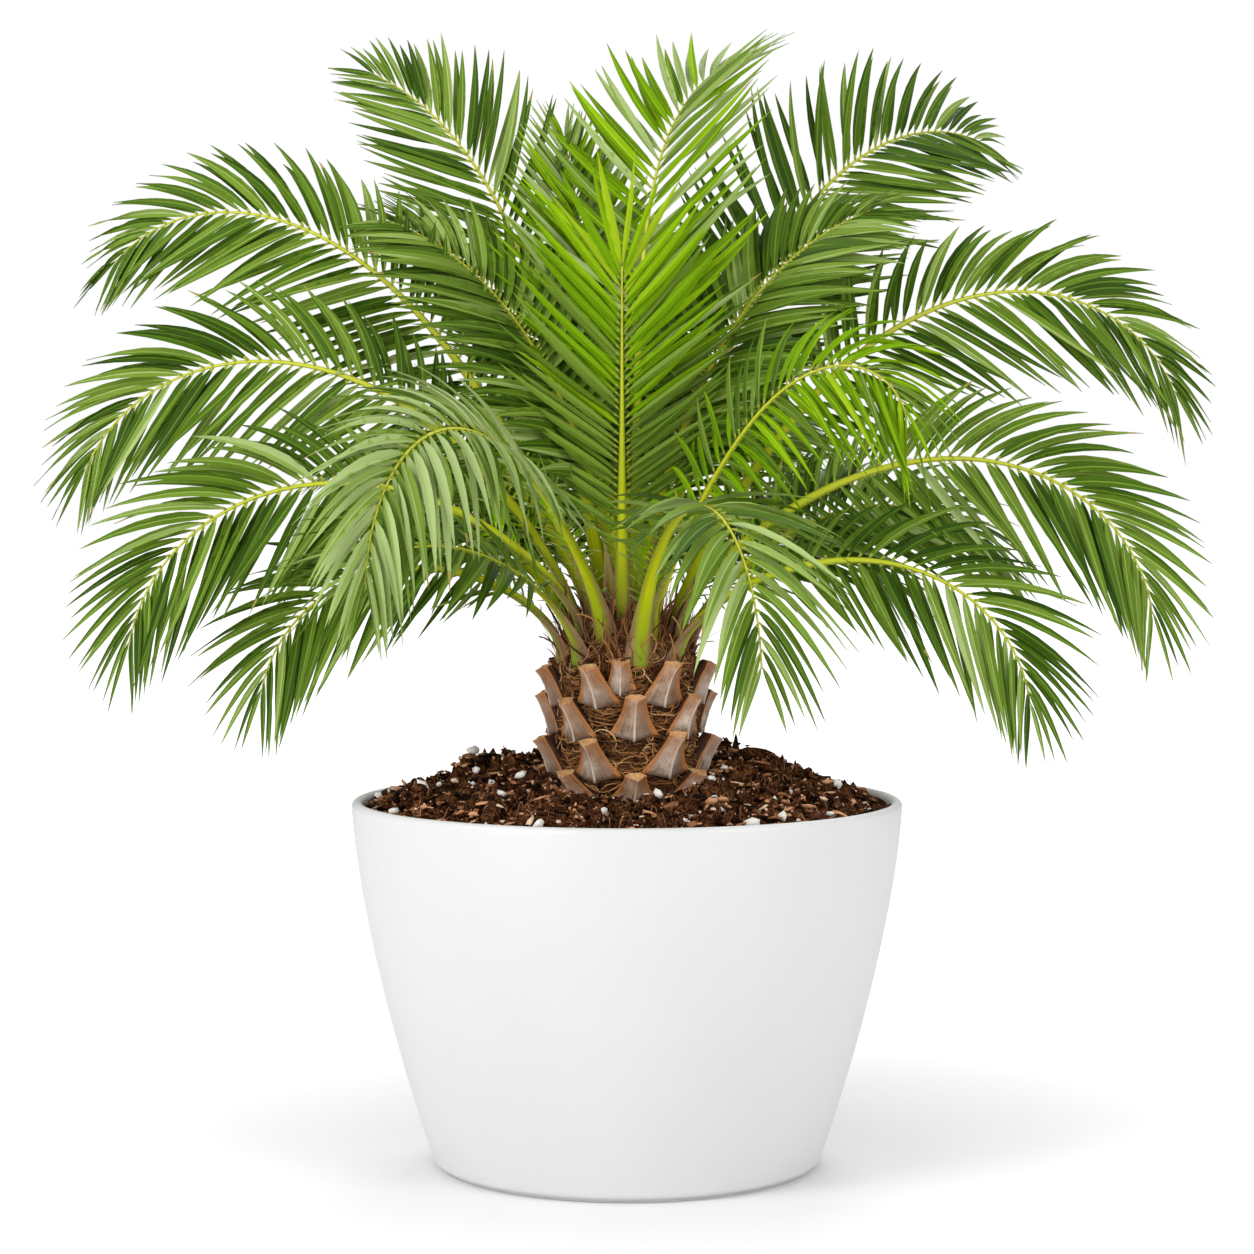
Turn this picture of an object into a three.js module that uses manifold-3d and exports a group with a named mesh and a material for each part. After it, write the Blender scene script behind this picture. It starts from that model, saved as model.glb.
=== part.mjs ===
// Potted Canary Island date palm.
// Millimetres, +Z up. The origin is the centre of the pot's flat underside, and the plant's front faces -Y.
// A young palm stands in a round, tapering pot filled with potting mix. The short trunk is covered with
// cut leaf bases, and arching feather fronds rise from the terraces at its top.
import * as THREE from "three";
import { mergeVertices } from "three/addons/utils/BufferGeometryUtils.js";
import Module from "manifold-3d";

const wasm = await Module();
wasm.setup();

// Driving sizes of the pot
const pot = {
  height: 466,
  rimRadius: 350,
  taper: 105,
  taperPower: 1.5,
  lip: 14,
  footInset: 6,
  footHeight: 4,
  floor: 16,
  sides: 40,
};

// Driving sizes of the potting mix
const soil = {
  edgeDepth: 12,
  padLevel: 470,
  padRadius: 130,
  moundFront: 6,
  moundBack: 56,
  gap: 0.4,
};

// Driving sizes of the trunk and of the cut leaf bases on it
const trunk = {
  foot: 470.3,
  waist: 90,
  flare: 8,
  sides: 18,
  terraces: [
    { from: 90, to: 70, level: 640 },
    { from: 70, to: 50, level: 664 },
    { from: 50, to: 30, level: 688 },
    { from: 30, to: 10, level: 708 },
    { from: 10, to: 0, level: 720 },
  ],
  bootRows: [
    { level: 468, turn: 6, count: 8, lean: 18, rise: 35, foot: 34 },
    { level: 505, turn: 30, count: 7, lean: 19, rise: 47, foot: 34 },
    { level: 554, turn: 5, count: 8, lean: 15, rise: 48, foot: 31 },
    { level: 591, turn: 28, count: 7, lean: 17, rise: 42, foot: 31 },
  ],
  bootCut: 13.5,
  bootKeel: 10,
  bootFan: 9,
  lastBase: { angle: 265, level: 600, lean: 6, rise: 37, foot: 20, cut: 11.5 },
};

// Each tier is a terrace on which the frond stems stand: its radius and level
const tiers = [
  { radius: 80, level: 640, width: 32, depth: 12 },
  { radius: 60, level: 664, width: 28, depth: 12 },
  { radius: 40, level: 688, width: 23, depth: 11 },
  { radius: 20, level: 708, width: 15, depth: 10 },
];

// Driving sizes that all fronds share
const frond = {
  gap: 0.3,
  sheath: 45,
  stemSteps: 5,
  stemWidth: 11,
  tipWidth: 4,
  stemDepth: 9,
  tipDepth: 3.5,
  bladeStart: 0.27,
  pairPitch: 44,
  leafLength: 160,
  tipShort: 0.4,
  leafWidth: 25,
  leafDepth: 2.2,
  openFoot: 65,
  openTip: 23,
  rankSpread: 6,
  fold: 14,
  sag: 0.11,
  hang: 0.17,
  sweep: 0.1,
};

// The fronds that the front view shows. Each row gives the name, the tier, the seat of the stem, the way it
// heads, its rise and its droop in degrees, how late it bends, its length, a sideways swing, the roll of
// its blade, and what sets it apart
const shown = [
  ["back_left_top", 2, 140, 133, 75, 52, 2.4, 872, 14, -49, { leaf: 1.08, hang: 0 }],
  ["left_high", 2, 190, 169, 60, 108, 3, 930, -3, -75],
  ["left_middle", 1, 168, 183, 59, 126, 1.95, 850, 0, -75],
  ["left_low", 1, 205, 192, 46, 126, 1.6, 748, 0, -65],
  ["left_lowest", 0, 188, 197, 39, 119, 1.5, 515, 0, -60],
  ["left_front_low", 0, 222, 215, 43, 90, 1.8, 430, 0, -30],
  ["left_front", 1, 242, 242, 47, 130, 2.1, 786, 7, -40],
  ["front", 2, 261, 270, 84, 18, 2.5, 455, 0, 0, { open: 0.92, openTip: 40, hang: 0.2, tipShort: 0 }],
  ["front_right", 0, 281, 286, 61, 146, 1.4, 645, 4, 0],
  ["right_front", 1, 298, 321, 59, 135, 3.6, 603, -2, 62],
  ["right_lowest", 0, 319, 339, 33, 116, 1.75, 595, -2, 60],
  ["right_low", 1, 338, 348, 44, 127, 1.9, 791, -2, 65],
  ["right_middle", 1, 15, 13, 60, 127, 2.3, 962, 2, 72],
  ["right_high", 2, 40, 42, 69, 82, 2.3, 1015, 3, 55, { leaf: 1.15, twist: 0.6, hang: 0.4 }],
  ["back_right_top", 3, 55, 85, 88, 62, 2.6, 782, -37, 0, { openTip: 36, hang: 0.3 }],
  ["centre_left", 3, 235, 168, 75, 55, 2.2, 600, 0, -40],
  ["centre_right", 3, 325, 15, 75, 55, 2.2, 620, 0, 40],
  ["back_top", 3, 150, 112, 80, 20, 2, 640, 0, 0, { hang: 0.2 }],
];

const radians = Math.PI / 180;

// A repeatable random number from a running count
function chance(seed) {
  const wave = Math.sin(seed * 127.1 + 311.7) * 43758.5453;
  return wave - Math.floor(wave);
}

// A frond's row of values by their names
function frondOf([name, tier, seat, heading, rise, droop, bend, length, swing, roll, apart]) {
  return { name, tier, seat, heading, rise, droop, bend, length, swing, roll, ...apart };
}

// The fronds on the far side, which repeat the front's three heights by a rule
function farFronds() {
  const rows = [
    ["back_low", { tier: 0, from: 16, step: 32, count: 5, rise: 47, droop: 96, bend: 1.7, length: 520 }],
    ["back_middle", { tier: 1, from: 68, step: 32, count: 3, rise: 50, droop: 100, bend: 2, length: 740 }],
    ["back_high", { tier: 2, from: 90, step: 60, count: 1, rise: 66, droop: 84, bend: 2.3, length: 820 }],
  ];
  const list = [];
  rows.forEach(([label, row], r) => {
    for (let i = 0; i < row.count; i++) {
      const vary = chance(r * 10 + i) - 0.5;
      const seat = row.from + row.step * i;
      list.push({
        ...row,
        name: label + "_" + (i + 1),
        seat,
        heading: seat + 6 * vary,
        rise: row.rise + 6 * vary,
        length: row.length * (1 + 0.12 * vary),
        swing: 10 * vary,
        roll: 40 * Math.cos(seat * radians),
      });
    }
  });
  return list;
}

// A closed mesh geometry from points and triangles
function geometryOf(points, faces) {
  const geometry = new THREE.BufferGeometry();
  geometry.setAttribute("position", new THREE.Float32BufferAttribute(points.flat(), 3));
  geometry.setIndex(faces.flat());
  return geometry;
}

// A geometry as a solid that can be joined and cut, with its faces turned to point out
function solidOf(geometry) {
  const bare = geometry.clone();
  bare.deleteAttribute("normal");
  bare.deleteAttribute("uv");
  const merged = mergeVertices(bare, 1e-3);
  const triVerts = new Uint32Array(merged.index.array);
  const vertProperties = new Float32Array(merged.attributes.position.array);
  const build = () => new wasm.Manifold(new wasm.Mesh({ numProp: 3, vertProperties, triVerts }));
  let solid = build();
  if (solid.volume() < 0) {
    for (let i = 0; i < triVerts.length; i += 3) {
      [triVerts[i + 1], triVerts[i + 2]] = [triVerts[i + 2], triVerts[i + 1]];
    }
    solid = build();
  }
  return solid;
}

// A solid back as a geometry for a mesh
function geometryFrom(solid) {
  const mesh = solid.getMesh();
  const geometry = new THREE.BufferGeometry();
  const points = new Float32Array(mesh.numVert * 3);
  for (let i = 0; i < mesh.numVert; i++) {
    points.set(mesh.vertProperties.subarray(i * mesh.numProp, i * mesh.numProp + 3), i * 3);
  }
  geometry.setAttribute("position", new THREE.BufferAttribute(points, 3));
  geometry.setIndex(new THREE.BufferAttribute(new Uint32Array(mesh.triVerts), 1));
  geometry.computeVertexNormals();
  return geometry;
}

function meshOf(name, solid, look) {
  const mesh = new THREE.Mesh(geometryFrom(solid), new THREE.MeshStandardMaterial({ name, ...look }));
  mesh.name = name;
  return mesh;
}

// A round body: its profile of radius and height turned about the upright axis
function turned(profile, sides) {
  const points = profile.map(([radius, height]) => new THREE.Vector2(radius, height));
  const geometry = new THREE.LatheGeometry(points, sides);
  geometry.rotateX(Math.PI / 2);
  return solidOf(geometry);
}

// Outer radius of the pot at a height: it narrows faster and faster towards the foot
function potRadius(height) {
  return pot.rimRadius - pot.taper * (1 - height / pot.height) ** pot.taperPower;
}

// The inside of the wall as straight stretches, from below the lip down to the floor
function innerProfile() {
  const wallTop = pot.height - pot.lip / 2;
  const corners = [0.7, 0.36, 0.12].map((share) => {
    const level = wallTop * share;
    return [potRadius(level) - pot.lip, level];
  });
  corners.push([potRadius(pot.floor) - pot.lip - 6, pot.floor]);
  return corners;
}

function potSolid() {
  const profile = [[0, 0]];
  const foot = potRadius(0) - pot.footInset;
  profile.push([foot, 0]);
  profile.push([foot, pot.footHeight]);
  profile.push([potRadius(0) + 1, pot.footHeight + 3]);
  const wallTop = pot.height - pot.lip / 2;
  for (const share of [0.06, 0.2, 0.36, 0.54, 0.75, 1]) {
    profile.push([potRadius(wallTop * share), wallTop * share]);
  }
  // The rolled lip is half a circle across the wall
  const lipCentre = pot.rimRadius - pot.lip / 2;
  for (const turn of [45, 90, 135, 180]) {
    profile.push([
      lipCentre + (pot.lip / 2) * Math.cos(turn * radians),
      wallTop + (pot.lip / 2) * Math.sin(turn * radians),
    ]);
  }
  innerProfile().forEach((corner) => profile.push(corner));
  profile.push([0, pot.floor]);
  return turned(profile, pot.sides);
}

// Level of the potting mix: a mound that is low in front of the trunk and high at its sides and back,
// and falls to the pot's wall
function soilLevel(radius, angle, edge) {
  const front = (0.5 - 0.5 * Math.sin(angle)) ** 2;
  const mound = soil.padLevel + soil.moundBack + (soil.moundFront - soil.moundBack) * front;
  const low = pot.height - soil.edgeDepth;
  const share = Math.min(1, Math.max(0, (radius - soil.padRadius) / (edge - soil.padRadius)));
  const fall = (1 - share) ** 0.95;
  const rough = 4 * Math.sin(5 * angle + radius / 31) + 3 * Math.sin(9 * angle - radius / 17);
  return low + (mound - low) * fall + rough * Math.sin(Math.PI * Math.min(1, share * 0.9 + 0.1));
}

function soilSolid() {
  const sides = pot.sides;
  const points = [];
  const faces = [];
  // The mix meets the highest straight stretch of the wall's inside, a small gap clear of it
  const wallTop = pot.height - pot.lip / 2;
  const [shoulder, shoulderLevel] = innerProfile()[0];
  const climb = (pot.height - soil.edgeDepth - shoulderLevel) / (wallTop - shoulderLevel);
  const edge = shoulder + (pot.rimRadius - pot.lip - shoulder) * climb - soil.gap * 2;
  const rings = [];
  rings.push({ radius: soil.padRadius - 9, level: () => soil.padLevel });
  rings.push({ radius: soil.padRadius, level: (angle) => soilLevel(soil.padRadius, angle, edge) });
  for (const share of [0.18, 0.4, 0.62, 0.83, 1]) {
    const radius = soil.padRadius + (edge - soil.padRadius) * share;
    rings.push({ radius, level: (angle) => soilLevel(radius, angle, edge) });
  }
  // Down the wall of the pot to its floor, a little inside it
  for (const [radius, level] of innerProfile()) {
    rings.push({ radius: radius - soil.gap, level: () => Math.max(level, pot.floor + soil.gap) });
  }
  for (const ring of rings) {
    for (let i = 0; i < sides; i++) {
      // The same turn as the pot's sides, so that the flats of both face each other
      const turn = (i / sides) * 2 * Math.PI;
      const x = ring.radius * Math.sin(turn);
      const y = -ring.radius * Math.cos(turn);
      points.push([x, y, ring.level(Math.atan2(y, x))]);
    }
  }
  const top = points.push([0, 0, soil.padLevel]) - 1;
  const bottom = points.push([0, 0, pot.floor + soil.gap]) - 1;
  for (let i = 0; i < sides; i++) {
    const next = (i + 1) % sides;
    faces.push([top, i, next]);
    for (let r = 0; r + 1 < rings.length; r++) {
      const a = r * sides + i;
      const b = r * sides + next;
      faces.push([a, a + sides, b + sides], [a, b + sides, b]);
    }
    const last = (rings.length - 1) * sides;
    faces.push([bottom, last + next, last + i]);
  }
  return solidOf(geometryOf(points, faces));
}

// One cut leaf base: a five-sided scale with a keel down its middle, leaning out of the trunk to a flat cut
function bootSolid({ angle, level, foot, cut, rise, lean }) {
  const low = 93 - (level - trunk.foot) * 0.04;
  const high = low + lean;
  const keel = trunk.bootKeel;
  const ring = (radial, half, back) => [
    [back, -half * 0.8],
    [radial, -half],
    [radial + keel, 0],
    [radial, half],
    [back, half * 0.8],
  ];
  const place = ([radial, across], height) => [
    radial * Math.cos(angle) - across * Math.sin(angle),
    radial * Math.sin(angle) + across * Math.cos(angle),
    height,
  ];
  const points = ring(low, foot, 62).map((corner) => place(corner, level));
  // The bases at the sides lean on round the trunk, away from its front and its back
  const fan = -trunk.bootFan * Math.sin(2 * angle);
  ring(high, cut, high - 14).forEach(([radial, across], i) => {
    points.push(place([radial, across + fan], level + rise - (i === 2 ? 5 : 0)));
  });
  const faces = [[0, 2, 1], [0, 3, 2], [0, 4, 3], [5, 6, 7], [5, 7, 8], [5, 8, 9]];
  for (let i = 0; i < 5; i++) {
    const next = (i + 1) % 5;
    faces.push([i, next, next + 5], [i, next + 5, i + 5]);
  }
  return solidOf(geometryOf(points, faces));
}

// The staggered rows of cut leaf bases, and a last, narrow one between the lowest stems in front
function bootList() {
  const list = [];
  trunk.bootRows.forEach((row, r) => {
    for (let i = 0; i < row.count; i++) {
      const vary = chance(r * 20 + i + 3) - 0.5;
      const size = 1 + 0.1 * vary;
      list.push({
        angle: (270 + row.turn + (360 / row.count) * i + 4 * vary) * radians,
        level: row.level + 6 * vary,
        foot: row.foot * size,
        cut: trunk.bootCut * size,
        rise: row.rise * size,
        lean: row.lean,
      });
    }
  });
  list.push({ ...trunk.lastBase, angle: trunk.lastBase.angle * radians });
  return list;
}

function trunkCore() {
  const profile = [[0, trunk.foot]];
  const topLevel = trunk.terraces[0].level;
  // The foot flares a little where the trunk meets the ground
  for (const share of [0, 0.2, 0.6, 1]) {
    const level = trunk.foot + (topLevel - trunk.foot) * share;
    profile.push([trunk.waist - 2 * share + trunk.flare * (1 - share) ** 3, level]);
  }
  trunk.terraces.forEach((terrace, i) => {
    profile.push([terrace.to, terrace.level]);
    const next = trunk.terraces[i + 1];
    if (next) profile.push([next.from, next.level]);
  });
  return turned(profile, trunk.sides);
}

// The trunk with every leaf base that keeps clear of the living stems
function trunkSolid(stems) {
  let solid = trunkCore();
  for (const boot of bootList()) {
    const stouter = { ...boot, foot: boot.foot + 1.5, cut: boot.cut + 1.5, rise: boot.rise + 1.5 };
    if (isFree(bootSolid(stouter), stems)) solid = solid.add(bootSolid(boot));
  }
  // A flat cut at ground level takes off what the lowest row would have below it
  const ground = new THREE.BoxGeometry(400, 400, 100);
  ground.translate(0, 0, trunk.foot - 50);
  return solid.subtract(solidOf(ground));
}

// Points and directions along a frond's rib. It starts upright on its terrace, opens to its rise within the
// sheath's length, and droops by the power law of its bend. Its heading swings towards the tip.
function ribOf(row) {
  const tier = tiers[row.tier];
  const steps = 240;
  const rib = [];
  const here = new THREE.Vector3(
    tier.radius * Math.cos(row.seat * radians),
    tier.radius * Math.sin(row.seat * radians),
    tier.level + frond.gap,
  );
  let before = null;
  for (let i = 0; i <= steps; i++) {
    const share = i / steps;
    const run = share * row.length;
    const upright = (90 - row.rise) * Math.exp(-run / frond.sheath);
    const climb = (row.rise + upright - row.droop * share ** row.bend) * radians;
    const heading = (row.heading + row.swing * share ** 2) * radians;
    const along = new THREE.Vector3(
      Math.cos(climb) * Math.cos(heading),
      Math.cos(climb) * Math.sin(heading),
      Math.sin(climb),
    );
    if (before) here.addScaledVector(before.clone().add(along), (0.5 * row.length) / steps);
    const roll = row.roll * radians * Math.min(1, share / (row.twist ?? 0.35));
    const flat = new THREE.Vector3(-Math.sin(heading), Math.cos(heading), 0);
    const upper = along.clone().cross(flat);
    const across = flat.clone().multiplyScalar(Math.cos(roll)).addScaledVector(upper, Math.sin(roll));
    const over = upper.clone().multiplyScalar(Math.cos(roll)).addScaledVector(flat, -Math.sin(roll));
    rib.push({ at: here.clone(), along, across, over, share });
    before = along;
  }
  return rib;
}

function ribAt(rib, share) {
  return rib[Math.round(Math.min(1, Math.max(0, share)) * (rib.length - 1))];
}

// How far along the blade a share of the rib is
function bladeShare(share) {
  return (share - frond.bladeStart) / (1 - frond.bladeStart);
}

// Length and angles of a leaflet: it opens wide at the foot of the blade and closes to the rib at the tip,
// and stands above the blade in two ranks
function leafRule(row, blade, side, rank) {
  const shorter = 1 - (row.tipShort ?? frond.tipShort) * blade ** 5;
  const swell = 0.62 + 0.38 * Math.sin(Math.PI * blade ** 0.8);
  const length = frond.leafLength * (row.leaf ?? 1) * swell * shorter;
  const closing = (frond.openFoot - (row.openTip ?? frond.openTip)) * blade ** 1.5;
  const open = (frond.openFoot - closing) * (row.open ?? 1) * radians;
  const lift = (frond.fold + rank * frond.rankSpread) * radians;
  return { length, open, lift, side };
}

// The three-sided rib with a pair of leaflets at each step. A leaflet grows out of the rib's side face,
// widens to a ring of four corners and ends in a point. Gaps of bare rib lie between the pairs.
function frondPlan(row) {
  const rib = ribOf(row);
  const tier = tiers[row.tier];
  const stations = [];
  const bladeLength = row.length * (1 - frond.bladeStart);
  const pairs = Math.max(6, Math.round(bladeLength / frond.pairPitch));
  for (let i = 0; i < frond.stemSteps; i++) {
    stations.push({ share: (frond.bladeStart * 0.96 * i) / frond.stemSteps, pair: null });
  }
  for (let i = 0; i < pairs; i++) {
    const from = frond.bladeStart + ((1 - frond.bladeStart) * (i + 0.1)) / pairs;
    const to = frond.bladeStart + ((1 - frond.bladeStart) * (i + 0.5)) / pairs;
    stations.push({ share: from, pair: i });
    stations.push({ share: to, pair: null });
  }
  const sections = stations.map(({ share }) => {
    const here = ribAt(rib, share);
    const early = Math.exp((-share * row.length) / 70);
    const taper = (foot, stem, tip) => stem + (tip - stem) * share + (foot - stem) * early;
    const width = taper(tier.width, frond.stemWidth, frond.tipWidth);
    const depth = taper(tier.depth, frond.stemDepth, frond.tipDepth);
    const corner = (across, over) =>
      here.at.clone().addScaledVector(here.across, across).addScaledVector(here.over, over);
    return {
      here,
      left: corner(width / 2, depth * 0.4),
      right: corner(-width / 2, depth * 0.4),
      keel: corner(0, -depth * 0.6),
    };
  });
  return { row, rib, stations, sections, pairs };
}

// The four mid corners and the tip of one leaflet, from the middle of its root
function leafShape(plan, index, side, scale) {
  const { row, sections, stations, pairs } = plan;
  const a = sections[index];
  const b = sections[index + 1];
  const blade = (stations[index].pair + 0.3) / pairs;
  const rank = (stations[index].pair + (side > 0 ? 0 : 1)) % 2 === 0 ? 1 : -1;
  const rule = leafRule(row, blade, side, rank);
  const vary = chance(row.seat + row.length + index * 2 + (side > 0 ? 1 : 0)) - 0.5;
  const length = rule.length * scale * (1 + 0.12 * vary);
  const here = a.here;
  const down = new THREE.Vector3(0, 0, -1);
  const out = here.across
    .clone()
    .multiplyScalar(side * Math.cos(rule.lift))
    .addScaledVector(here.over, Math.sin(rule.lift));
  const way = here.along
    .clone()
    .multiplyScalar(Math.cos(rule.open))
    .addScaledVector(out, Math.sin(rule.open))
    .addScaledVector(down, frond.hang * (row.hang ?? 1))
    .normalize();
  const edge = side > 0 ? "left" : "right";
  const root = a[edge].clone().add(b[edge]).add(a.keel).add(b.keel).multiplyScalar(0.25);
  // The leaflet's own width lies in the blade, along the rib less its part along the leaflet
  const wide = here.along.clone().addScaledVector(way, -here.along.dot(way)).normalize();
  const thick = way.clone().cross(wide).normalize();
  if (thick.dot(here.over) < 0) thick.negate();
  const share = Math.min(1, rule.length / frond.leafLength + 0.1);
  const width = frond.leafWidth * (0.75 + 0.25 * scale) * share;
  // The middle line sinks and sweeps towards the frond's tip by the square of the way along it
  const lineAt = (t) =>
    root
      .clone()
      .addScaledVector(way, length * t)
      .addScaledVector(down, length * frond.sag * t * t)
      .addScaledVector(here.along, length * frond.sweep * t * t);
  const middle = lineAt(0.42);
  const tip = lineAt(1);
  return {
    near: middle.clone().addScaledVector(wide, -width / 2).addScaledVector(thick, 1),
    far: middle.clone().addScaledVector(wide, width / 2).addScaledVector(thick, 1),
    over: middle.clone().addScaledVector(thick, frond.leafDepth * 0.3),
    under: middle.clone().addScaledVector(thick, -frond.leafDepth * 0.9),
    tip,
  };
}

// The whole frond as points and faces, with each leaflet at the scale that was found for it
function frondGeometry(plan, scales) {
  const { sections, stations } = plan;
  const points = [];
  const faces = [];
  const put = (v) => points.push([v.x, v.y, v.z]) - 1;
  const rows = sections.map((s) => ({ left: put(s.left), right: put(s.right), keel: put(s.keel) }));
  const quad = (a, b, c, d) => faces.push([a, b, c], [a, c, d]);
  const first = rows[0];
  faces.push([first.left, first.right, first.keel]);
  for (let i = 0; i + 1 < rows.length; i++) {
    const a = rows[i];
    const b = rows[i + 1];
    quad(a.left, b.left, b.right, a.right);
    for (const side of [1, -1]) {
      const scale = stations[i].pair === null ? 0 : scales[stations[i].pair * 2 + (side > 0 ? 0 : 1)];
      // The root's four corners in turn: near top, far top, far keel, near keel, seen from outside
      const root = side > 0 ? [a.left, b.left, b.keel, a.keel] : [a.right, b.right, b.keel, a.keel];
      const flip = side < 0;
      const face = (p, q, r) => faces.push(flip ? [p, q, r] : [p, r, q]);
      if (!scale) {
        face(root[0], root[1], root[2]);
        face(root[0], root[2], root[3]);
        continue;
      }
      const leaf = leafShape(plan, i, side, scale);
      const ring = [put(leaf.near), put(leaf.over), put(leaf.far), put(leaf.under)];
      const tip = put(leaf.tip);
      // Root corners against ring corners: near top to near, far top to over and far, and so on round
      face(root[0], ring[1], ring[0]);
      face(root[0], root[1], ring[1]);
      face(root[1], ring[2], ring[1]);
      face(root[1], root[2], ring[2]);
      face(root[2], ring[3], ring[2]);
      face(root[2], root[3], ring[3]);
      face(root[3], ring[0], ring[3]);
      face(root[3], root[0], ring[0]);
      for (let k = 0; k < 4; k++) face(ring[k], ring[(k + 1) % 4], tip);
    }
  }
  const last = rows[rows.length - 1];
  const end = plan.rib[plan.rib.length - 1];
  const apex = put(end.at.clone().addScaledVector(end.along, 2));
  faces.push([last.left, apex, last.right]);
  faces.push([last.left, last.keel, apex]);
  faces.push([last.keel, last.right, apex]);
  return geometryOf(points, faces);
}

// Is this solid free of all the others whose boxes it reaches into
function isFree(solid, others) {
  const box = solid.boundingBox();
  return !others.some((other) => {
    for (let k = 0; k < 3; k++) {
      if (box.min[k] > other.box.max[k] || box.max[k] < other.box.min[k]) return false;
    }
    return solid.intersect(other.solid).volume() > 1e-4;
  });
}

function boxed(solid) {
  return { solid, box: solid.boundingBox() };
}

// One leaflet as a solid of its own, from root to tip, a little stouter than it is by the extra given
function leafSolid(plan, index, side, scale, extra) {
  const a = plan.sections[index];
  const b = plan.sections[index + 1];
  const edge = side > 0 ? "left" : "right";
  const leaf = leafShape(plan, index, side, scale);
  const middle = leaf.near.clone().add(leaf.far).multiplyScalar(0.5);
  const grow = (v, from) => {
    const away = v.clone().sub(from);
    return v.clone().addScaledVector(away.normalize(), extra);
  };
  const root = [a[edge], b[edge], b.keel, a.keel];
  const ring = [leaf.near, leaf.over, leaf.far, leaf.under].map((v) => grow(v, middle));
  const tip = grow(leaf.tip, middle);
  const points = [...root, ...ring, tip].map((v) => [v.x, v.y, v.z]);
  const faces = [[0, 2, 1], [0, 3, 2]];
  for (let k = 0; k < 4; k++) {
    const next = (k + 1) % 4;
    faces.push([k, 4 + next, 4 + k], [k, next, 4 + next]);
  }
  for (let k = 0; k < 4; k++) faces.push([4 + k, 4 + ((k + 1) % 4), 8]);
  return solidOf(geometryOf(points, faces));
}

const potBody = potSolid();
const soilBody = soilSolid();

// Each leaflet is tried at full length, then shorter, and is left out where it would touch a neighbour
const tries = [1, 0.85, 0.7, 0.55, 0.4];
const plans = [...shown.map(frondOf), ...farFronds()].map(frondPlan);
const ribs = plans.map((plan) => boxed(solidOf(frondGeometry(plan, []))));
const trunkBody = trunkSolid(ribs);
const solidsAround = [trunkBody, soilBody, potBody].map(boxed);
const placed = [];
const frondBodies = plans.map((plan, n) => {
  const others = [...solidsAround, ...ribs.filter((_, m) => m !== n)];
  const own = [];
  const scales = [];
  plan.stations.forEach((station, index) => {
    if (station.pair === null) return;
    for (const side of [1, -1]) {
      const fit = tries.find((scale) => {
        const trial = leafSolid(plan, index, side, scale, 0.6);
        return isFree(trial, others) && isFree(trial, placed) && isFree(trial, own);
      });
      scales[station.pair * 2 + (side > 0 ? 0 : 1)] = fit ?? 0;
      if (fit) own.push(boxed(leafSolid(plan, index, side, fit, 0)));
    }
  });
  placed.push(...own);
  return { name: "frond_" + plan.row.name, solid: solidOf(frondGeometry(plan, scales)) };
});

// The assembly: one group, each sub-part its own named mesh
const palm = new THREE.Group();
palm.name = "potted_date_palm";
palm.add(meshOf("pot", potBody, { color: 0xeeeeec, roughness: 0.4, metalness: 0 }));
palm.add(meshOf("potting_mix", soilBody, { color: 0x3a2418, roughness: 0.95, metalness: 0 }));
palm.add(meshOf("trunk", trunkBody, { color: 0x7a5f48, roughness: 0.9, metalness: 0 }));
const crown = new THREE.Group();
crown.name = "crown";
for (const { name, solid } of frondBodies) {
  crown.add(meshOf(name, solid, { color: 0x5c8037, roughness: 0.5, metalness: 0, side: THREE.DoubleSide }));
}
palm.add(crown);

export default palm;
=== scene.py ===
import math

import bpy
import numpy as np
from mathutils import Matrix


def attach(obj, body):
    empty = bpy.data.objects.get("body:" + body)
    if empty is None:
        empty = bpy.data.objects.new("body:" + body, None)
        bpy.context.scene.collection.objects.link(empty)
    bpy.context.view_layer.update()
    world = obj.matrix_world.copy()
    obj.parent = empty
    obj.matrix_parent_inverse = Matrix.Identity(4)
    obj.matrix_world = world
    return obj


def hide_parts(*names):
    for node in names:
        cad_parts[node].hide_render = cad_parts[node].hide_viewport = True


# A young Canary Island date palm in a white pot. Shapes are worked out in millimetres, in the
# frame's own axes, and go into the meshes in metres.
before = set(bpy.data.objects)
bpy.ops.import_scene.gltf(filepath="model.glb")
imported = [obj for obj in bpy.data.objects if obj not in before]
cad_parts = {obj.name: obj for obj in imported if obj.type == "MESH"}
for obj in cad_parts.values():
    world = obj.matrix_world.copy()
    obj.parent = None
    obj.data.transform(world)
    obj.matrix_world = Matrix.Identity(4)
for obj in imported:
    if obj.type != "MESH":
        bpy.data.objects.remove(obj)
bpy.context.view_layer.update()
print("frame:", len(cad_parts), "nodes")

radians = math.pi / 180
turn = 2 * math.pi
rng = np.random.default_rng(20)

# Camera, floor and light


def addNode(tree, kind, inputs=None, **settings):
    # a node with its settings, each input a plain value or the output that feeds it
    node = tree.nodes.new(kind)
    for name, value in settings.items():
        setattr(node, name, value)
    for name, value in (inputs or {}).items():
        if isinstance(value, bpy.types.NodeSocket):
            tree.links.new(value, node.inputs[name])
        else:
            node.inputs[name].default_value = value
    return node


def ranged(tree, value, fromMin=0.0, fromMax=1.0, toMin=0.0, toMax=1.0):
    # a value carried from one range over to another, and held at its ends
    return addNode(tree, "ShaderNodeMapRange", {
        "Value": value, "From Min": fromMin, "From Max": fromMax, "To Min": toMin, "To Max": toMax,
    }).outputs[0]


def worked(tree, operation, *values):
    # one step of arithmetic
    return addNode(tree, "ShaderNodeMath", dict(enumerate(values)), operation=operation).outputs[0]


def addToScene(name, data):
    thing = bpy.data.objects.new(name, data)
    bpy.context.scene.collection.objects.link(thing)
    return thing


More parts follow.
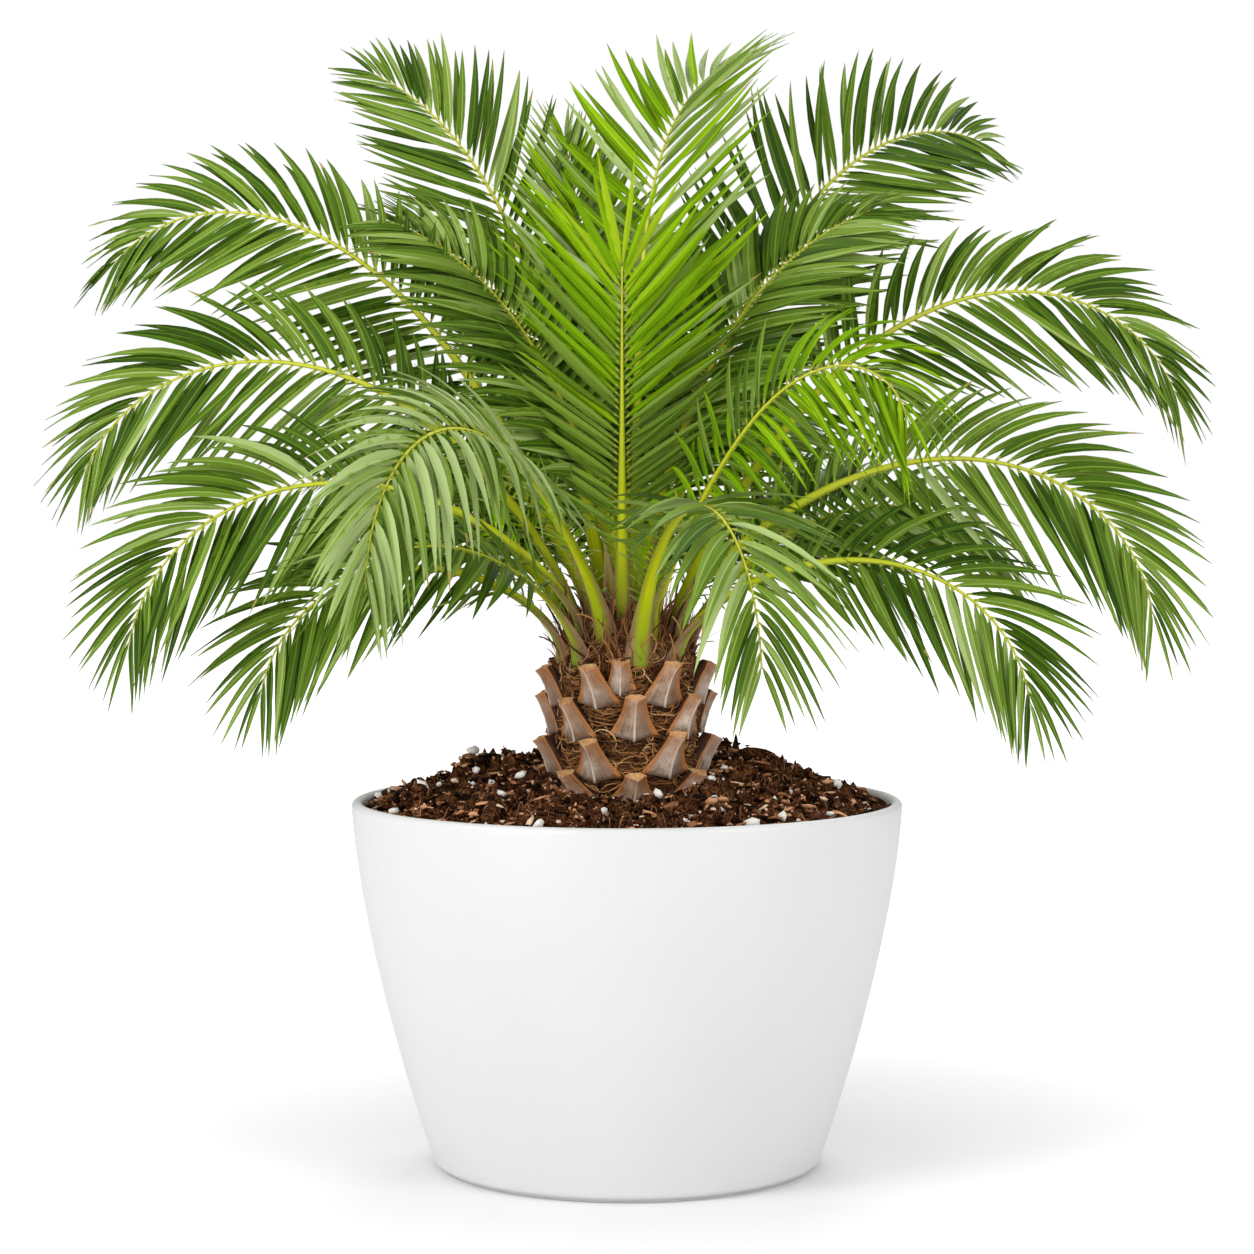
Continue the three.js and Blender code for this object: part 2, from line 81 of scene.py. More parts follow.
def polar(radius, angle, height):
    # places at a radius and an angle about the upright axis, and at a height
    return np.stack(np.broadcast_arrays(radius * np.cos(angle), radius * np.sin(angle), height), -1)


view = {"place": (0, -4.0, 0.88), "lookDown": 2.8, "lens": 90.4, "sensor": 36}
camera = addToScene("camera", bpy.data.cameras.new("camera"))
camera.location = view["place"]
camera.rotation_euler = ((90 - view["lookDown"]) * radians, 0, 0)
camera.data.lens = view["lens"]
camera.data.sensor_width = view["sensor"]
bpy.context.scene.camera = camera

studio = {
    "skyLow": 0.32,
    "skyHigh": 1.05,
    "floorRadius": 40,
    "floorSides": 96,
    "floor": {"Base Color": (0.76, 0.76, 0.76, 1), "Roughness": 0.9, "Specular IOR Level": 0.1,
              "Emission Color": (1, 1, 1, 1)},
    # how much the floor glows near the pot and far from it, and the distances of both
    "glow": (0.02, 0.60),
    "glowReach": (0.35, 2.0),
    # name, place, size and power
    "lights": [
        ("keyLight", (-3.3, -2.8, 3.6), 1.8, 116),
        ("fillLight", (3.6, -3.0, 2.2), 2.6, 100),
        ("frontLight", (-3.0, -3.5, 1.0), 2.0, 54),
        ("backLight", (0.6, 3.6, 3.8), 2.2, 70),
    ],
    "target": (0, 0, 0.8),
}


def makeStudio():
    bpy.context.scene.world = world = bpy.data.worlds.new("studioSky")
    world.use_nodes = True
    tree = world.node_tree
    sky = tree.nodes["Background"].inputs
    sky["Color"].default_value = (1, 1, 1, 1)
    # the sky brightens from the horizon to the top, and what shows behind the plant is full white
    place = addNode(tree, "ShaderNodeTexCoord").outputs["Generated"]
    upward = addNode(tree, "ShaderNodeSeparateXYZ", {"Vector": place}).outputs["Z"]
    brightness = ranged(tree, upward, 0.0, 1.0, studio["skyLow"], studio["skyHigh"])
    seen = addNode(tree, "ShaderNodeLightPath").outputs["Is Camera Ray"]
    tree.links.new(ranged(tree, seen, 0.0, 1.0, brightness, 1.0), sky["Strength"])

    for name, place, size, power in studio["lights"]:
        lamp = addToScene(name, bpy.data.lights.new(name, "AREA"))
        lamp.data.size = size
        lamp.data.energy = power
        lamp.location = place
        x, y, z = np.array(studio["target"]) - place
        lamp.rotation_euler = (math.atan2(math.hypot(x, y), -z), 0, math.atan2(y, x) - math.pi / 2)

    sides = studio["floorSides"]
    angle = np.linspace(0, turn, sides, endpoint=False)
    rim = polar(studio["floorRadius"], angle, 0.0)
    mesh = bpy.data.meshes.new("floor")
    mesh.from_pydata(rim.tolist(), [], [list(range(sides))])
    paint = bpy.data.materials.new("paleFloor")
    paint.use_nodes = True
    tree = paint.node_tree
    shader = tree.nodes["Principled BSDF"].inputs
    for label, value in studio["floor"].items():
        shader[label].default_value = value
    # the floor glows more away from the pot, so that its shadow is soft and no horizon shows
    place = addNode(tree, "ShaderNodeTexCoord").outputs["Object"]
    away = addNode(tree, "ShaderNodeVectorMath", {0: place}, operation="LENGTH").outputs["Value"]
    seen = addNode(tree, "ShaderNodeLightPath").outputs["Is Camera Ray"]
    glow = ranged(tree, away, *studio["glowReach"], *studio["glow"])
    tree.links.new(worked(tree, "MULTIPLY", glow, seen), shader["Emission Strength"])
    mesh.materials.append(paint)
    addToScene("floor", mesh)


makeStudio()
bpy.context.scene.view_settings.view_transform = "Standard"
print("studio: camera,", len(studio["lights"]), "soft lights and a floor")

# Mesh tools


def unit(vectors):
    # each vector over its own length
    return vectors / np.maximum(np.linalg.norm(vectors, axis=-1, keepdims=True), 1e-9)


def rolled(first, second, by):
    # two directions turned by an angle in their own plane, the first towards the second
    c, s = np.cos(by), np.sin(by)
    return first * c + second * s, second * c - first * s


def surfaceMap(points, across, lengthwise):
    # a pair for each point: its place across the piece, and along it in metres
    pair = [np.broadcast_to(part, points.shape[:-1]) for part in (across, lengthwise)]
    return np.stack(pair, -1)


def chance(seed):
    # the source's repeatable number between 0 and 1: what a large sine has after its point
    wave = np.sin(np.asarray(seed, float) * 127.1 + 311.7) * 43758.5453
    return wave - np.floor(wave)


def ripple(points, size, seed, waves=20):
    # soft random relief of about unit height: a sum of sines that run in random directions,
    # each about one size long
    own = np.random.default_rng(seed)
    heading = unit(own.normal(size=(waves, 3))) * (turn / size) * own.uniform(0.6, 1.5, (waves, 1))
    total = np.zeros(points.shape[:-1])
    for way, phase in zip(heading, own.uniform(0, turn, waves)):
        total += np.sin(points @ way + phase)
    return total / math.sqrt(waves / 2)


def tubeFaces(count, rows, sides):
    # for each tube quads between its rings, turning anticlockwise about its way, then its ends
    r, s = np.meshgrid(np.arange(rows - 1), np.arange(sides), indexing="ij")
    n = (s + 1) % sides
    body = np.stack([r * sides + s, r * sides + n, (r + 1) * sides + n, (r + 1) * sides + s], -1)
    body = body.reshape(-1, 4)
    ends = np.array([np.arange(sides)[::-1], np.arange(sides) + (rows - 1) * sides])
    shift = np.arange(count)[:, None, None] * rows * sides
    return [(body + shift).reshape(-1, 4), (ends + shift).reshape(-1, sides)]


def makePiece(node, slot, name, points, faceSets, materials, looks=0, uv=None, crease=0):
    # points in millimetres; faces in sets of one size each; one look a face; uv one pair a point.
    # crease gives the corners of a ring where the edges from ring to ring are sharp
    mesh = bpy.data.meshes.new(name)
    points = np.asarray(points, float).reshape(-1, 3) * 0.001
    corners = np.concatenate([f.ravel() for f in faceSets]).astype(np.int32)
    sizes = np.concatenate([np.full(len(f), f.shape[1]) for f in faceSets])
    starts = np.concatenate([[0], np.cumsum(sizes)[:-1]]).astype(np.int32)
    mesh.vertices.add(len(points))
    mesh.vertices.foreach_set("co", points.ravel())
    mesh.loops.add(len(corners))
    mesh.loops.foreach_set("vertex_index", corners)
    mesh.polygons.add(len(sizes))
    mesh.polygons.foreach_set("loop_start", starts)
    mesh.polygons.foreach_set("use_smooth", np.ones(len(sizes), bool))
    mesh.polygons.foreach_set("material_index", np.broadcast_to(looks, len(sizes)).astype(np.int32))
    mesh.update(calc_edges=True)
    if uv is not None:
        layer = mesh.uv_layers.new(name="surface")
        layer.uv.foreach_set("vector", np.asarray(uv, float).reshape(-1, 2)[corners].ravel())
    if crease:
        ends = np.empty(len(mesh.edges) * 2, np.int32)
        mesh.edges.foreach_get("vertices", ends)
        ends = ends.reshape(-1, 2)
        sharp = mesh.attributes.new("sharp_edge", "BOOLEAN", "EDGE")
        sharp.data.foreach_set("value", ends[:, 0] % crease == ends[:, 1] % crease)
    mesh.validate()
    for material in materials:
        mesh.materials.append(material)
    piece = addToScene(name, mesh)
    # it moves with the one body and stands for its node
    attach(piece, "root")
    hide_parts(node)


def turnedPoints(profile, sides):
    # a profile of radius and height turned about the upright axis, one ring for each pair
    radius, height = np.array(profile, float).T[..., None]
    return polar(radius, np.linspace(0, turn, sides, endpoint=False), height)


def makeStrands(node, slot, name, paths, size, materials, odds):
    # thin three-sided tubes about many lines at once, tapering to both ends, each with a radius
    # and a material drawn by chance
    count, rows, _ = paths.shape
    ahead = unit(np.gradient(paths, axis=1))
    side = unit(np.cross(ahead, unit(paths * (1, 1, 0) + (0.01, 0.02, 0))))
    up = np.cross(ahead, side)
    taper = 0.25 + 0.75 * np.sin(math.pi * (0.12 + 0.8 * np.linspace(0, 1, rows)))
    radius = rng.uniform(*size, count)[:, None] * taper
    angle = np.arange(3)[:, None] * turn / 3
    ring = np.cos(angle) * side[:, :, None] + np.sin(angle) * up[:, :, None]
    points = paths[:, :, None] + ring * radius[..., None, None]
    pick = rng.choice(len(odds), count, p=odds)
    looks = np.concatenate([np.repeat(pick, (rows - 1) * 3), np.repeat(pick, 2)])
    makePiece(node, slot, name, points, tubeFaces(count, rows, 3), materials, looks)


# Shared effects for the materials


def makeGroup(name, place, values, results):
    # a node group: the place that its pattern is laid over, its numbers and what it gives back
    group = bpy.data.node_groups.new(name, "ShaderNodeTree")
    newSocket = group.interface.new_socket
    newSocket(name=place, in_out="INPUT", socket_type="NodeSocketVector")
    for label, value in values.items():
        newSocket(name=label, in_out="INPUT", socket_type="NodeSocketFloat").default_value = value
    for label in results:
        newSocket(name=label, in_out="OUTPUT", socket_type="NodeSocketFloat")
    given, result = group.nodes.new("NodeGroupInput"), group.nodes.new("NodeGroupOutput")
    return group, given.outputs, result.inputs


def stretched(group, place, scale, detail, contrast):
    # noise over a place, and the same with its middle stretched to the full range by the contrast
    noise = addNode(group, "ShaderNodeTexNoise", {"Vector": place, "Scale": scale, "Detail": detail})
    height = noise.outputs["Fac"]
    scaled = addNode(group, "ShaderNodeMath", {
        0: worked(group, "SUBTRACT", height, 0.5), 1: contrast, 2: 0.5,
    }, operation="MULTIPLY_ADD", use_clamp=True)
    return height, scaled.outputs[0]


def makeMottle():
    # clouded patches
    values = {"Scale": 40.0, "Detail": 5.0, "Contrast": 2.0}
    group, given, result = makeGroup("mottle", "Place", values, ["Mask"])
    _, mask = stretched(group, given["Place"], given["Scale"], given["Detail"], given["Contrast"])
    group.links.new(mask, result["Mask"])
    return group


def makeStreaks():
    # long fibres: noise over the piece's own map, many across it and few along it
    values = {"Across": 12.0, "Along": 2.0, "Contrast": 2.0}
    group, given, result = makeGroup("streaks", "Surface", values, ["Mask", "Height"])
    scale = {"X": given["Across"], "Y": given["Along"], "Z": 1.0}
    drawn = {0: given["Surface"], 1: addNode(group, "ShaderNodeCombineXYZ", scale).outputs[0]}
    place = addNode(group, "ShaderNodeVectorMath", drawn, operation="MULTIPLY").outputs[0]
    height, mask = stretched(group, place, 1.0, 4.0, given["Contrast"])
    group.links.new(mask, result["Mask"])
    group.links.new(height, result["Height"])
    return group


mottle = makeMottle()
streaks = makeStreaks()


def startMaterial(name, shine=0.5):
    material = bpy.data.materials.new(name)
    material.use_nodes = True
    tree = material.node_tree
    tree.nodes["Principled BSDF"].inputs["Specular IOR Level"].default_value = shine
    return material, tree, addNode(tree, "ShaderNodeTexCoord").outputs


def patches(tree, place, scale, detail, contrast):
    # clouded patches over the piece's own place
    given = {"Place": place["Object"], "Scale": scale, "Detail": detail, "Contrast": contrast}
    return addNode(tree, "ShaderNodeGroup", given, node_tree=mottle).outputs["Mask"]


def fibres(tree, place, across, lengthwise, contrast):
    # long fibres over the piece's own map: their mask and their height
    given = {"Surface": place["UV"], "Across": across, "Along": lengthwise, "Contrast": contrast}
    return addNode(tree, "ShaderNodeGroup", given, node_tree=streaks).outputs


def mixColour(tree, mask, first, second):
    # the first colour where the mask is 0, the second where it is 1
    node = tree.nodes.new("ShaderNodeMix")
    node.data_type = "RGBA"
    for place, value in zip((0, 6, 7), (mask, first, second)):
        socket = node.inputs[place]
        if isinstance(value, bpy.types.NodeSocket):
            tree.links.new(value, socket)
        else:
            socket.default_value = (*value, 1)
    return node.outputs[2]


def finishMaterial(material, colour, mask, rough, height, strength, depth):
    # the base colour, the roughness from where the mask is 0 to where it is 1, and the relief
    tree = material.node_tree
    shader = tree.nodes["Principled BSDF"].inputs
    if isinstance(colour, bpy.types.NodeSocket):
        tree.links.new(colour, shader["Base Color"])
    else:
        shader["Base Color"].default_value = (*colour, 1)
    tree.links.new(ranged(tree, mask, 0.0, 1.0, *rough), shader["Roughness"])
    relief = {"Height": height, "Strength": strength, "Distance": depth}
    tree.links.new(addNode(tree, "ShaderNodeBump", relief).outputs[0], shader["Normal"])
    return material


def grainMaterial(name, shine, colour, grain, rough, strength, depth):
    # one plain tint under fine patches of a scale, a detail and a contrast
    material, tree, place = startMaterial(name, shine)
    mask = patches(tree, place, *grain)
    return finishMaterial(material, colour, mask, rough, mask, strength, depth)


# The pot

pot = {
    "height": 466,
    "rimRadius": 350,
    "taper": 105,
    "taperPower": 1.5,
    "lip": 14,
    "footInset": 6,
    "footHeight": 4,
    "floor": 16,
    "sides": 192,
    "white": (0.665, 0.665, 0.665),
    "shade": (0.640, 0.640, 0.645),
}


def potRadius(height):
    # the wall narrows faster and faster towards the foot, by a power of the depth below the rim
    return pot["rimRadius"] - pot["taper"] * (1 - height / pot["height"]) ** pot["taperPower"]


def potProfile():
    lip = pot["lip"]
    wallTop = pot["height"] - lip / 2
    foot = potRadius(0) - pot["footInset"]
    profile = [[2, 0], [foot - 40, 0], [foot - 1.5, 0], [foot, 1.2], [foot + 0.3, pot["footHeight"]]]
    profile += [[foot + 3, pot["footHeight"] + 0.3], [foot + 5.6, pot["footHeight"] + 1.4]]
    profile += [[potRadius(h), h] for h in (8, 12, 20, *np.linspace(32, wallTop - 8, 22), wallTop)]
    centre = pot["rimRadius"] - lip / 2
    for part in np.linspace(0, math.pi, 11)[1:]:  # the lip is half a circle across the wall
        profile.append([centre + lip / 2 * math.cos(part), wallTop + lip / 2 * math.sin(part)])
    profile += [[potRadius(h) - lip, h] for h in np.linspace(wallTop - 12, pot["floor"] + 30, 14)]
    inner = potRadius(pot["floor"]) - lip
    profile += [[inner - 4, pot["floor"] + 8], [inner - 14, pot["floor"]], [2, pot["floor"]]]
    return profile


def potMaterial():
    # satin white moulded plastic, faintly clouded, with a shallow moulding texture
    material, tree, place = startMaterial("potPlastic")
    cloud = patches(tree, place, 5.0, 3.0, 1.6)
    fine = patches(tree, place, 420.0, 2.0, 1.4)
    colour = mixColour(tree, cloud, pot["white"], pot["shade"])
    return finishMaterial(material, colour, fine, (0.36, 0.46), fine, 0.06, 0.0005)


def makePot():
    profile, sides = potProfile(), pot["sides"]
    faces = tubeFaces(1, len(profile), sides)
    shell = turnedPoints(profile, sides)
    makePiece("pot", "pot_shell", "planter_shell", shell, faces, [potMaterial()])
    return len(faces[0])


print("pot: one turned shell of", makePot(), "faces")

# The potting mix

soil = {
    "edge": 334.5,
    "edgeDepth": 12,
    "underside": 420,
    "padLevel": 470,
    "padRadius": 130,
    "moundFront": 6,
    "moundBack": 56,
    "sectors": 460,
    "rings": 120,
    "tints": {
        # near-black lumps, and also the painted shade in the hollows of the mix's surface
        "mixBlack": (0.008, 0.002, 0.001),
        "mixDark": (0.072, 0.022, 0.008),
        "mixBrown": (0.320, 0.128, 0.050),
        "mixRed": (0.680, 0.330, 0.165),
        "mixTan": (0.920, 0.660, 0.460),
    },
    # kinds of lump: count, smallest and largest half size, how rare the large ones are, nearest to
    # the trunk, flatness, length, how far sunk or raised, and the odds of each tint or a finish
    "lumps": {
        "crumbs": (8200, 1.0, 3.8, 2.4, 103.4, (0.5, 1), (1, 2.2), 0.3,
                   [0.38, 0.19, 0.18, 0.15, 0.10]),
        "bark_chips": (1700, 2.6, 7.0, 2.4, 113, (0.35, 0.75), (1.3, 2.8), 0.45,
                       [0.36, 0.24, 0.20, 0.14, 0.06]),
        "bark_strips": (900, 1.2, 3.0, 2.4, 101, (0.5, 0.9), (4.0, 8.0), 0.9,
                        [0.17, 0.26, 0.26, 0.22, 0.09]),
        "clods": (210, 7, 17, 2, 145, (0.45, 0.8), (1, 1.7), -0.1, "peat"),
        "perlite": (360, 0.9, 8.0, 4, 110, (0.6, 1), (1, 1.6), 1.0, "perlite"),
    },
    "perliteColour": (0.90, 0.87, 0.82),
    "roots": 520,
    "rootColour": (0.42, 0.23, 0.11),
}


def soilLevel(radius, angle):
    # the source's mound: low in front, high at the sides and back, falling to the pot's wall
    front = (0.5 - 0.5 * np.sin(angle)) ** 2
    mound = soil["padLevel"] + soil["moundBack"] + (soil["moundFront"] - soil["moundBack"]) * front
    low = pot["height"] - soil["edgeDepth"]
    share = np.clip((radius - soil["padRadius"]) / (soil["edge"] + 1 - soil["padRadius"]), 0, 1)
    rough = 4 * np.sin(5 * angle + radius / 31) + 3 * np.sin(9 * angle - radius / 17)
    level = low + (mound - low) * (1 - share) ** 0.95
    return level + rough * np.sin(math.pi * np.minimum(1, share * 0.9 + 0.1))


def soilTop(x, y):
    # the mound with lumps of three sizes on it, fading out at the wall
    radius = np.hypot(x, y)
    place = np.stack([x, y, 0 * x], -1)
    relief = 5 * ripple(place, 80, 1) - 13 * np.abs(ripple(place, 38, 2)) + 5 * ripple(place, 15, 3)
    fade = np.clip((soil["edge"] + 4 - radius) / 60, 0.15, 1) * np.clip((radius - 95) / 60, 0.2, 1)
    dip = 7 * np.exp(-(((radius - 95) / 30) ** 2))
    return soilLevel(radius, np.arctan2(y, x)) + fade * (relief + 5) - dip


def soilSurface():
    # rings from the underside's middle out to the wall, up, and back in over the mound
    angle = np.linspace(0, turn, soil["sectors"], endpoint=False)
    edge, base = soil["edge"], soil["underside"]
    rows = [polar(r, angle, z) for r, z in [(3, base), (edge - 12, base), (edge - 3, base + 16)]]
    for radius in edge - (edge - 40) * np.linspace(0, 1, soil["rings"]) ** 1.05:
        flat = polar(radius, angle, 0.0)
        height = soilTop(flat[:, 0], flat[:, 1]) + 1.2 * np.abs(ripple(flat, 5, 4))
        rows.append(polar(radius, angle, height))
    return np.array(rows)


def icosahedron():
    g = (1 + math.sqrt(5)) / 2
    corners = np.array([
        (-1, g, 0), (1, g, 0), (-1, -g, 0), (1, -g, 0), (0, -1, g), (0, 1, g),
        (0, -1, -g), (0, 1, -g), (g, 0, -1), (g, 0, 1), (-g, 0, -1), (-g, 0, 1)], float)
    faces = np.array([
        (0, 11, 5), (0, 5, 1), (0, 1, 7), (0, 7, 10), (0, 10, 11), (1, 5, 9), (5, 11, 4),
        (11, 10, 2), (10, 7, 6), (7, 1, 8), (3, 9, 4), (3, 4, 2), (3, 2, 6), (3, 6, 8), (3, 8, 9),
        (4, 9, 5), (2, 4, 11), (6, 2, 10), (8, 6, 7), (9, 8, 1)])
    return unit(corners), faces


def scatterOnSoil(count, inner=84, outer=None):
    # places spread evenly over the ring of soil between two radii
    outer = outer or soil["edge"] - 5
    radius = np.sqrt(rng.uniform(inner**2, outer**2, count))
    return polar(radius, rng.uniform(0, turn, count), 0.0)[:, :2].T


def lumpPoints(x, y, size, flatness, length, sunk, fine=False):
    # a rough lump at each place: the corners of a ball pushed in or out by chance, squashed, drawn
    # out, turned by chance and partly sunk in the soil
    corners, faces = icosahedron()
    if fine:  # every face into four, for lumps that show their surface
        pairs = np.sort(np.concatenate([faces[:, [0, 1]], faces[:, [1, 2]], faces[:, [2, 0]]]), 1)
        edges, index = np.unique(pairs, axis=0, return_inverse=True)
        ab, bc, ca = len(corners) + index.reshape(3, -1)
        a, b, c = faces.T
        corners = np.concatenate([corners, unit(corners[edges].mean(1))])
        quarters = [(a, ab, ca), (ab, b, bc), (ca, bc, c), (ab, bc, ca)]
        faces = np.concatenate([np.stack(row, -1) for row in quarters])
    count = len(x)
    shape = corners * rng.uniform(0.66, 1.22, (count, len(corners), 1))
    shape = shape * np.stack([length, np.ones(count), flatness], -1)[:, None]
    heading, roll = rng.uniform(0, turn, count), rng.normal(0, 0.42, count)
    tilt = rng.normal(0, 0.42, count) / np.sqrt(length)
    for first, second, by in [(1, 2, roll), (0, 2, tilt), (0, 1, heading)]:
        turned = rolled(shape[..., first], shape[..., second], -by[:, None])
        shape[..., first], shape[..., second] = turned
    shape *= size[:, None, None]
    centre = np.stack([x, y, soilTop(x, y) + size * sunk], -1)
    points = centre[:, None] + shape
    # nothing reaches into the pot's wall
    reach = np.hypot(points[..., 0], points[..., 1])
    points[..., :2] *= np.minimum(1, (soil["edge"] + 0.8) / np.maximum(reach, 1))[..., None]
    return points, (faces + np.arange(count)[:, None, None] * len(corners)).reshape(-1, 3)


def mixMaterial(name, colour, rough=0.68):
    # one plain tint of bark or peat with a pitted surface
    return grainMaterial(name, 0.04 + 0.5 * colour[0], colour, (520.0, 4.0, 2.4),
                         (rough - 0.12, rough + 0.06), 0.7, 0.0012)


def peatAndShadeMaterial():
    # the mix's own surface and the clods: near-black, partly dark peat and partly painted shade
    # for the hollows between the lumps, with brown crumbs
    material, tree, place = startMaterial("peat", 0.03)
    black, brown = soil["tints"]["mixBlack"], soil["tints"]["mixBrown"]
    coarse = patches(tree, place, 60.0, 6.0, 2.6)
    fine = patches(tree, place, 330.0, 5.0, 3.4)
    colour = mixColour(tree, coarse, black, mixColour(tree, fine, black, brown))
    return finishMaterial(material, colour, fine, (0.82, 0.98), fine, 0.9, 0.002)


def makeSoil():
    own = ("potting_mix", "mix")
    finishes = {"peat": peatAndShadeMaterial(), "perlite": mixMaterial("perlite", soil["perliteColour"], 0.8)}
    surface = soilSurface()
    faces = tubeFaces(1, len(surface), soil["sectors"])
    # the surface between the lumps: its near-black is partly painted shade for the hollows
    makePiece(*own, "mix_surface", surface, faces, [finishes["peat"]])
    tints = [mixMaterial(name, colour) for name, colour in soil["tints"].items()]

    for name, (count, small, large, rare, inner, flat, long, sunk, kind) in soil["lumps"].items():
        x, y = scatterOnSoil(count, inner)
        size = small + (large - small) * rng.random(count) ** rare
        flat, long = rng.uniform(*flat, count), rng.uniform(*long, count)
        points, faces = lumpPoints(x, y, size, flat, long, sunk, fine=name == "clods")
        if isinstance(kind, str):
            makePiece(*own, "mix_" + name, points, [faces], [finishes[kind]])
        else:
            looks = np.repeat(rng.choice(len(tints), count, p=kind), 20)
            makePiece(*own, "mix_" + name, points, [faces], tints, looks)

    # roots and fibres: lines that wander level over the mix, rising a little in the middle
    count, rows = soil["roots"], 10
    x, y = scatterOnSoil(count, 90, soil["edge"] - 22)
    t = np.linspace(0, 1, rows)
    length = rng.uniform(8, 44, count)[:, None]
    bend = rng.normal(0, 1.4, count)[:, None]
    heading = rng.uniform(0, turn, count)[:, None] + bend * t
    heading = heading + 0.5 * np.sin(turn * (t + rng.random((count, 1))))
    px = x[:, None] + np.cumsum(np.cos(heading), 1) * length / rows
    py = y[:, None] + np.cumsum(np.sin(heading), 1) * length / rows
    shrink = np.minimum(1, (soil["edge"] - 4) / np.hypot(px, py))
    px, py = px * shrink, py * shrink
    height = soilTop(px, py) + 2 + rng.uniform(0, 6, (count, 1)) * np.sin(math.pi * t)
    looks = [mixMaterial("rootFibre", soil["rootColour"], 0.8), tints[2], tints[3]]
    paths = np.stack([px, py, height], -1)
    makeStrands(*own, "mix_roots", paths, (0.22, 0.6), looks, [0.35, 0.35, 0.3])


makeSoil()
lumps = sum(row[0] for row in soil["lumps"].values())
print("potting mix:", lumps, "lumps and", soil["roots"], "roots")

# The trunk: fibre mat, cut leaf bases and loose fibre

trunk = {
    "profile": [
        (2, 440), (96, 440), (96, 468), (92, 484), (89, 520), (87, 560), (85, 600), (85, 628),
        (82, 643), (74, 660), (62, 679), (48, 696), (34, 710), (20, 720), (3, 724)],
    "rows": 96,
    "sectors": 260,
    # for each row of cut leaf bases: level, turn, count, outward lean, height and half the foot
    "bootRows": [
        (470, 4, 8, 18, 34, 35), (505, 30, 7, 19, 47, 35),
        (554, 5, 8, 16, 48, 32), (594, 28, 7, 17, 46, 31)],
    "bootTop": 13.5,
    # the narrow last base: angle, level, half the foot, half the cut, height and lean
    "lastBase": (265, 611, 20, 11.5, 36, 3),
    "fan": 9,
    "foldPitch": 7.5,
    "fibreSpan": (466, 668),
    "mat": [(0.010, 0.003, 0.001), (0.110, 0.038, 0.011), (0.360, 0.155, 0.050)],
    # dark, grey and light of the faces; the light one also paints the highlight along the keel
    "face": [(0.085, 0.036, 0.015), (0.520, 0.320, 0.195), (1.000, 0.880, 0.760)],
    "edge": (0.520, 0.190, 0.042),
    "cut": (0.800, 0.520, 0.270),
    # painted shade for the half of each leaf base that faces away from the light
    "faceShaded": (0.230, 0.110, 0.052),
    "fibreTints": {
        "fibreDark": (0.060, 0.022, 0.008),
        "fibreBrown": (0.250, 0.100, 0.033),
        "fibreTan": (0.500, 0.240, 0.085),
        "fibreLight": (0.820, 0.520, 0.240),
    },
    # kinds of loose fibre: count, stations, thinnest, thickest and the odds of each tint
    "fibres": {
        "swags": (2400, 14, 0.35, 1.25, [0.36, 0.36, 0.21, 0.07]),
        "curls": (700, 16, 0.3, 0.9, [0.16, 0.36, 0.32, 0.16]),
        "collar_curls": (260, 16, 0.35, 1.0, [0.20, 0.42, 0.28, 0.10]),
        "whiskers": (260, 8, 0.16, 0.32, [0.35, 0.4, 0.2, 0.05]),
        "collar_hairs": (420, 12, 0.3, 0.6, [0.34, 0.4, 0.2, 0.06]),
        "collar_strips": (300, 12, 0.8, 2.2, [0.44, 0.40, 0.14, 0.02]),
    },
}


def coreRadius(height):
    # the mat's radius at a height, read along the upper part of its profile
    radius, level = np.array(trunk["profile"][2:], float).T
    return np.interp(height, level, radius)


def corePoints():
    # the profile turned about the axis, with wavy level folds and lumps standing out of it
    profile = np.array(trunk["profile"], float)
    run = np.concatenate([[0], np.cumsum(np.hypot(*np.diff(profile, axis=0).T))])
    even = np.linspace(0, run[-1], trunk["rows"])
    smooth = [np.interp(even, run, column) for column in profile.T]
    points = turnedPoints(np.transpose(smooth), trunk["sectors"])
    angle = np.arctan2(points[..., 1], points[..., 0])
    z = points[..., 2]
    wave = z + 4 * np.sin(9 * angle + z / 19) + 2.2 * np.sin(4 * angle - z / 13)
    wave = wave + 1.3 * np.sin(17 * angle)
    folds = np.abs(np.sin(math.pi * wave / trunk["foldPitch"])) - 0.6
    relief = 2.4 * folds + 2.2 * ripple(points, 24, 11) + 1.1 * ripple(points, 7, 12) - 2
    outward = unit(points * (1, 1, 0) + (0, 0, 1e-6)) * (1, 1, 0) + (0, 0, 0.25)
    fade = np.clip(np.hypot(points[..., 0], points[..., 1]) / 30, 0, 1)
    return points + outward * (relief * fade)[..., None]


def bootList():
    # the source's staggered rows, then the narrow one between the lowest stems in front. Each has
    # its angle, level, half the foot, half the cut, height and outward lean
    boots = []
    for row, (level, start, around, lean, height, foot) in enumerate(trunk["bootRows"]):
        for i in range(around):
            vary = float(chance(row * 20 + i + 3)) - 0.5
            size = 1 + 0.1 * vary
            angle = 270 + start + 360 / around * i + 4 * vary
            sizes = np.multiply((foot, trunk["bootTop"], height), size)
            boots.append((angle, level + 6 * vary, *sizes, lean))
    return boots + [trunk["lastBase"]]


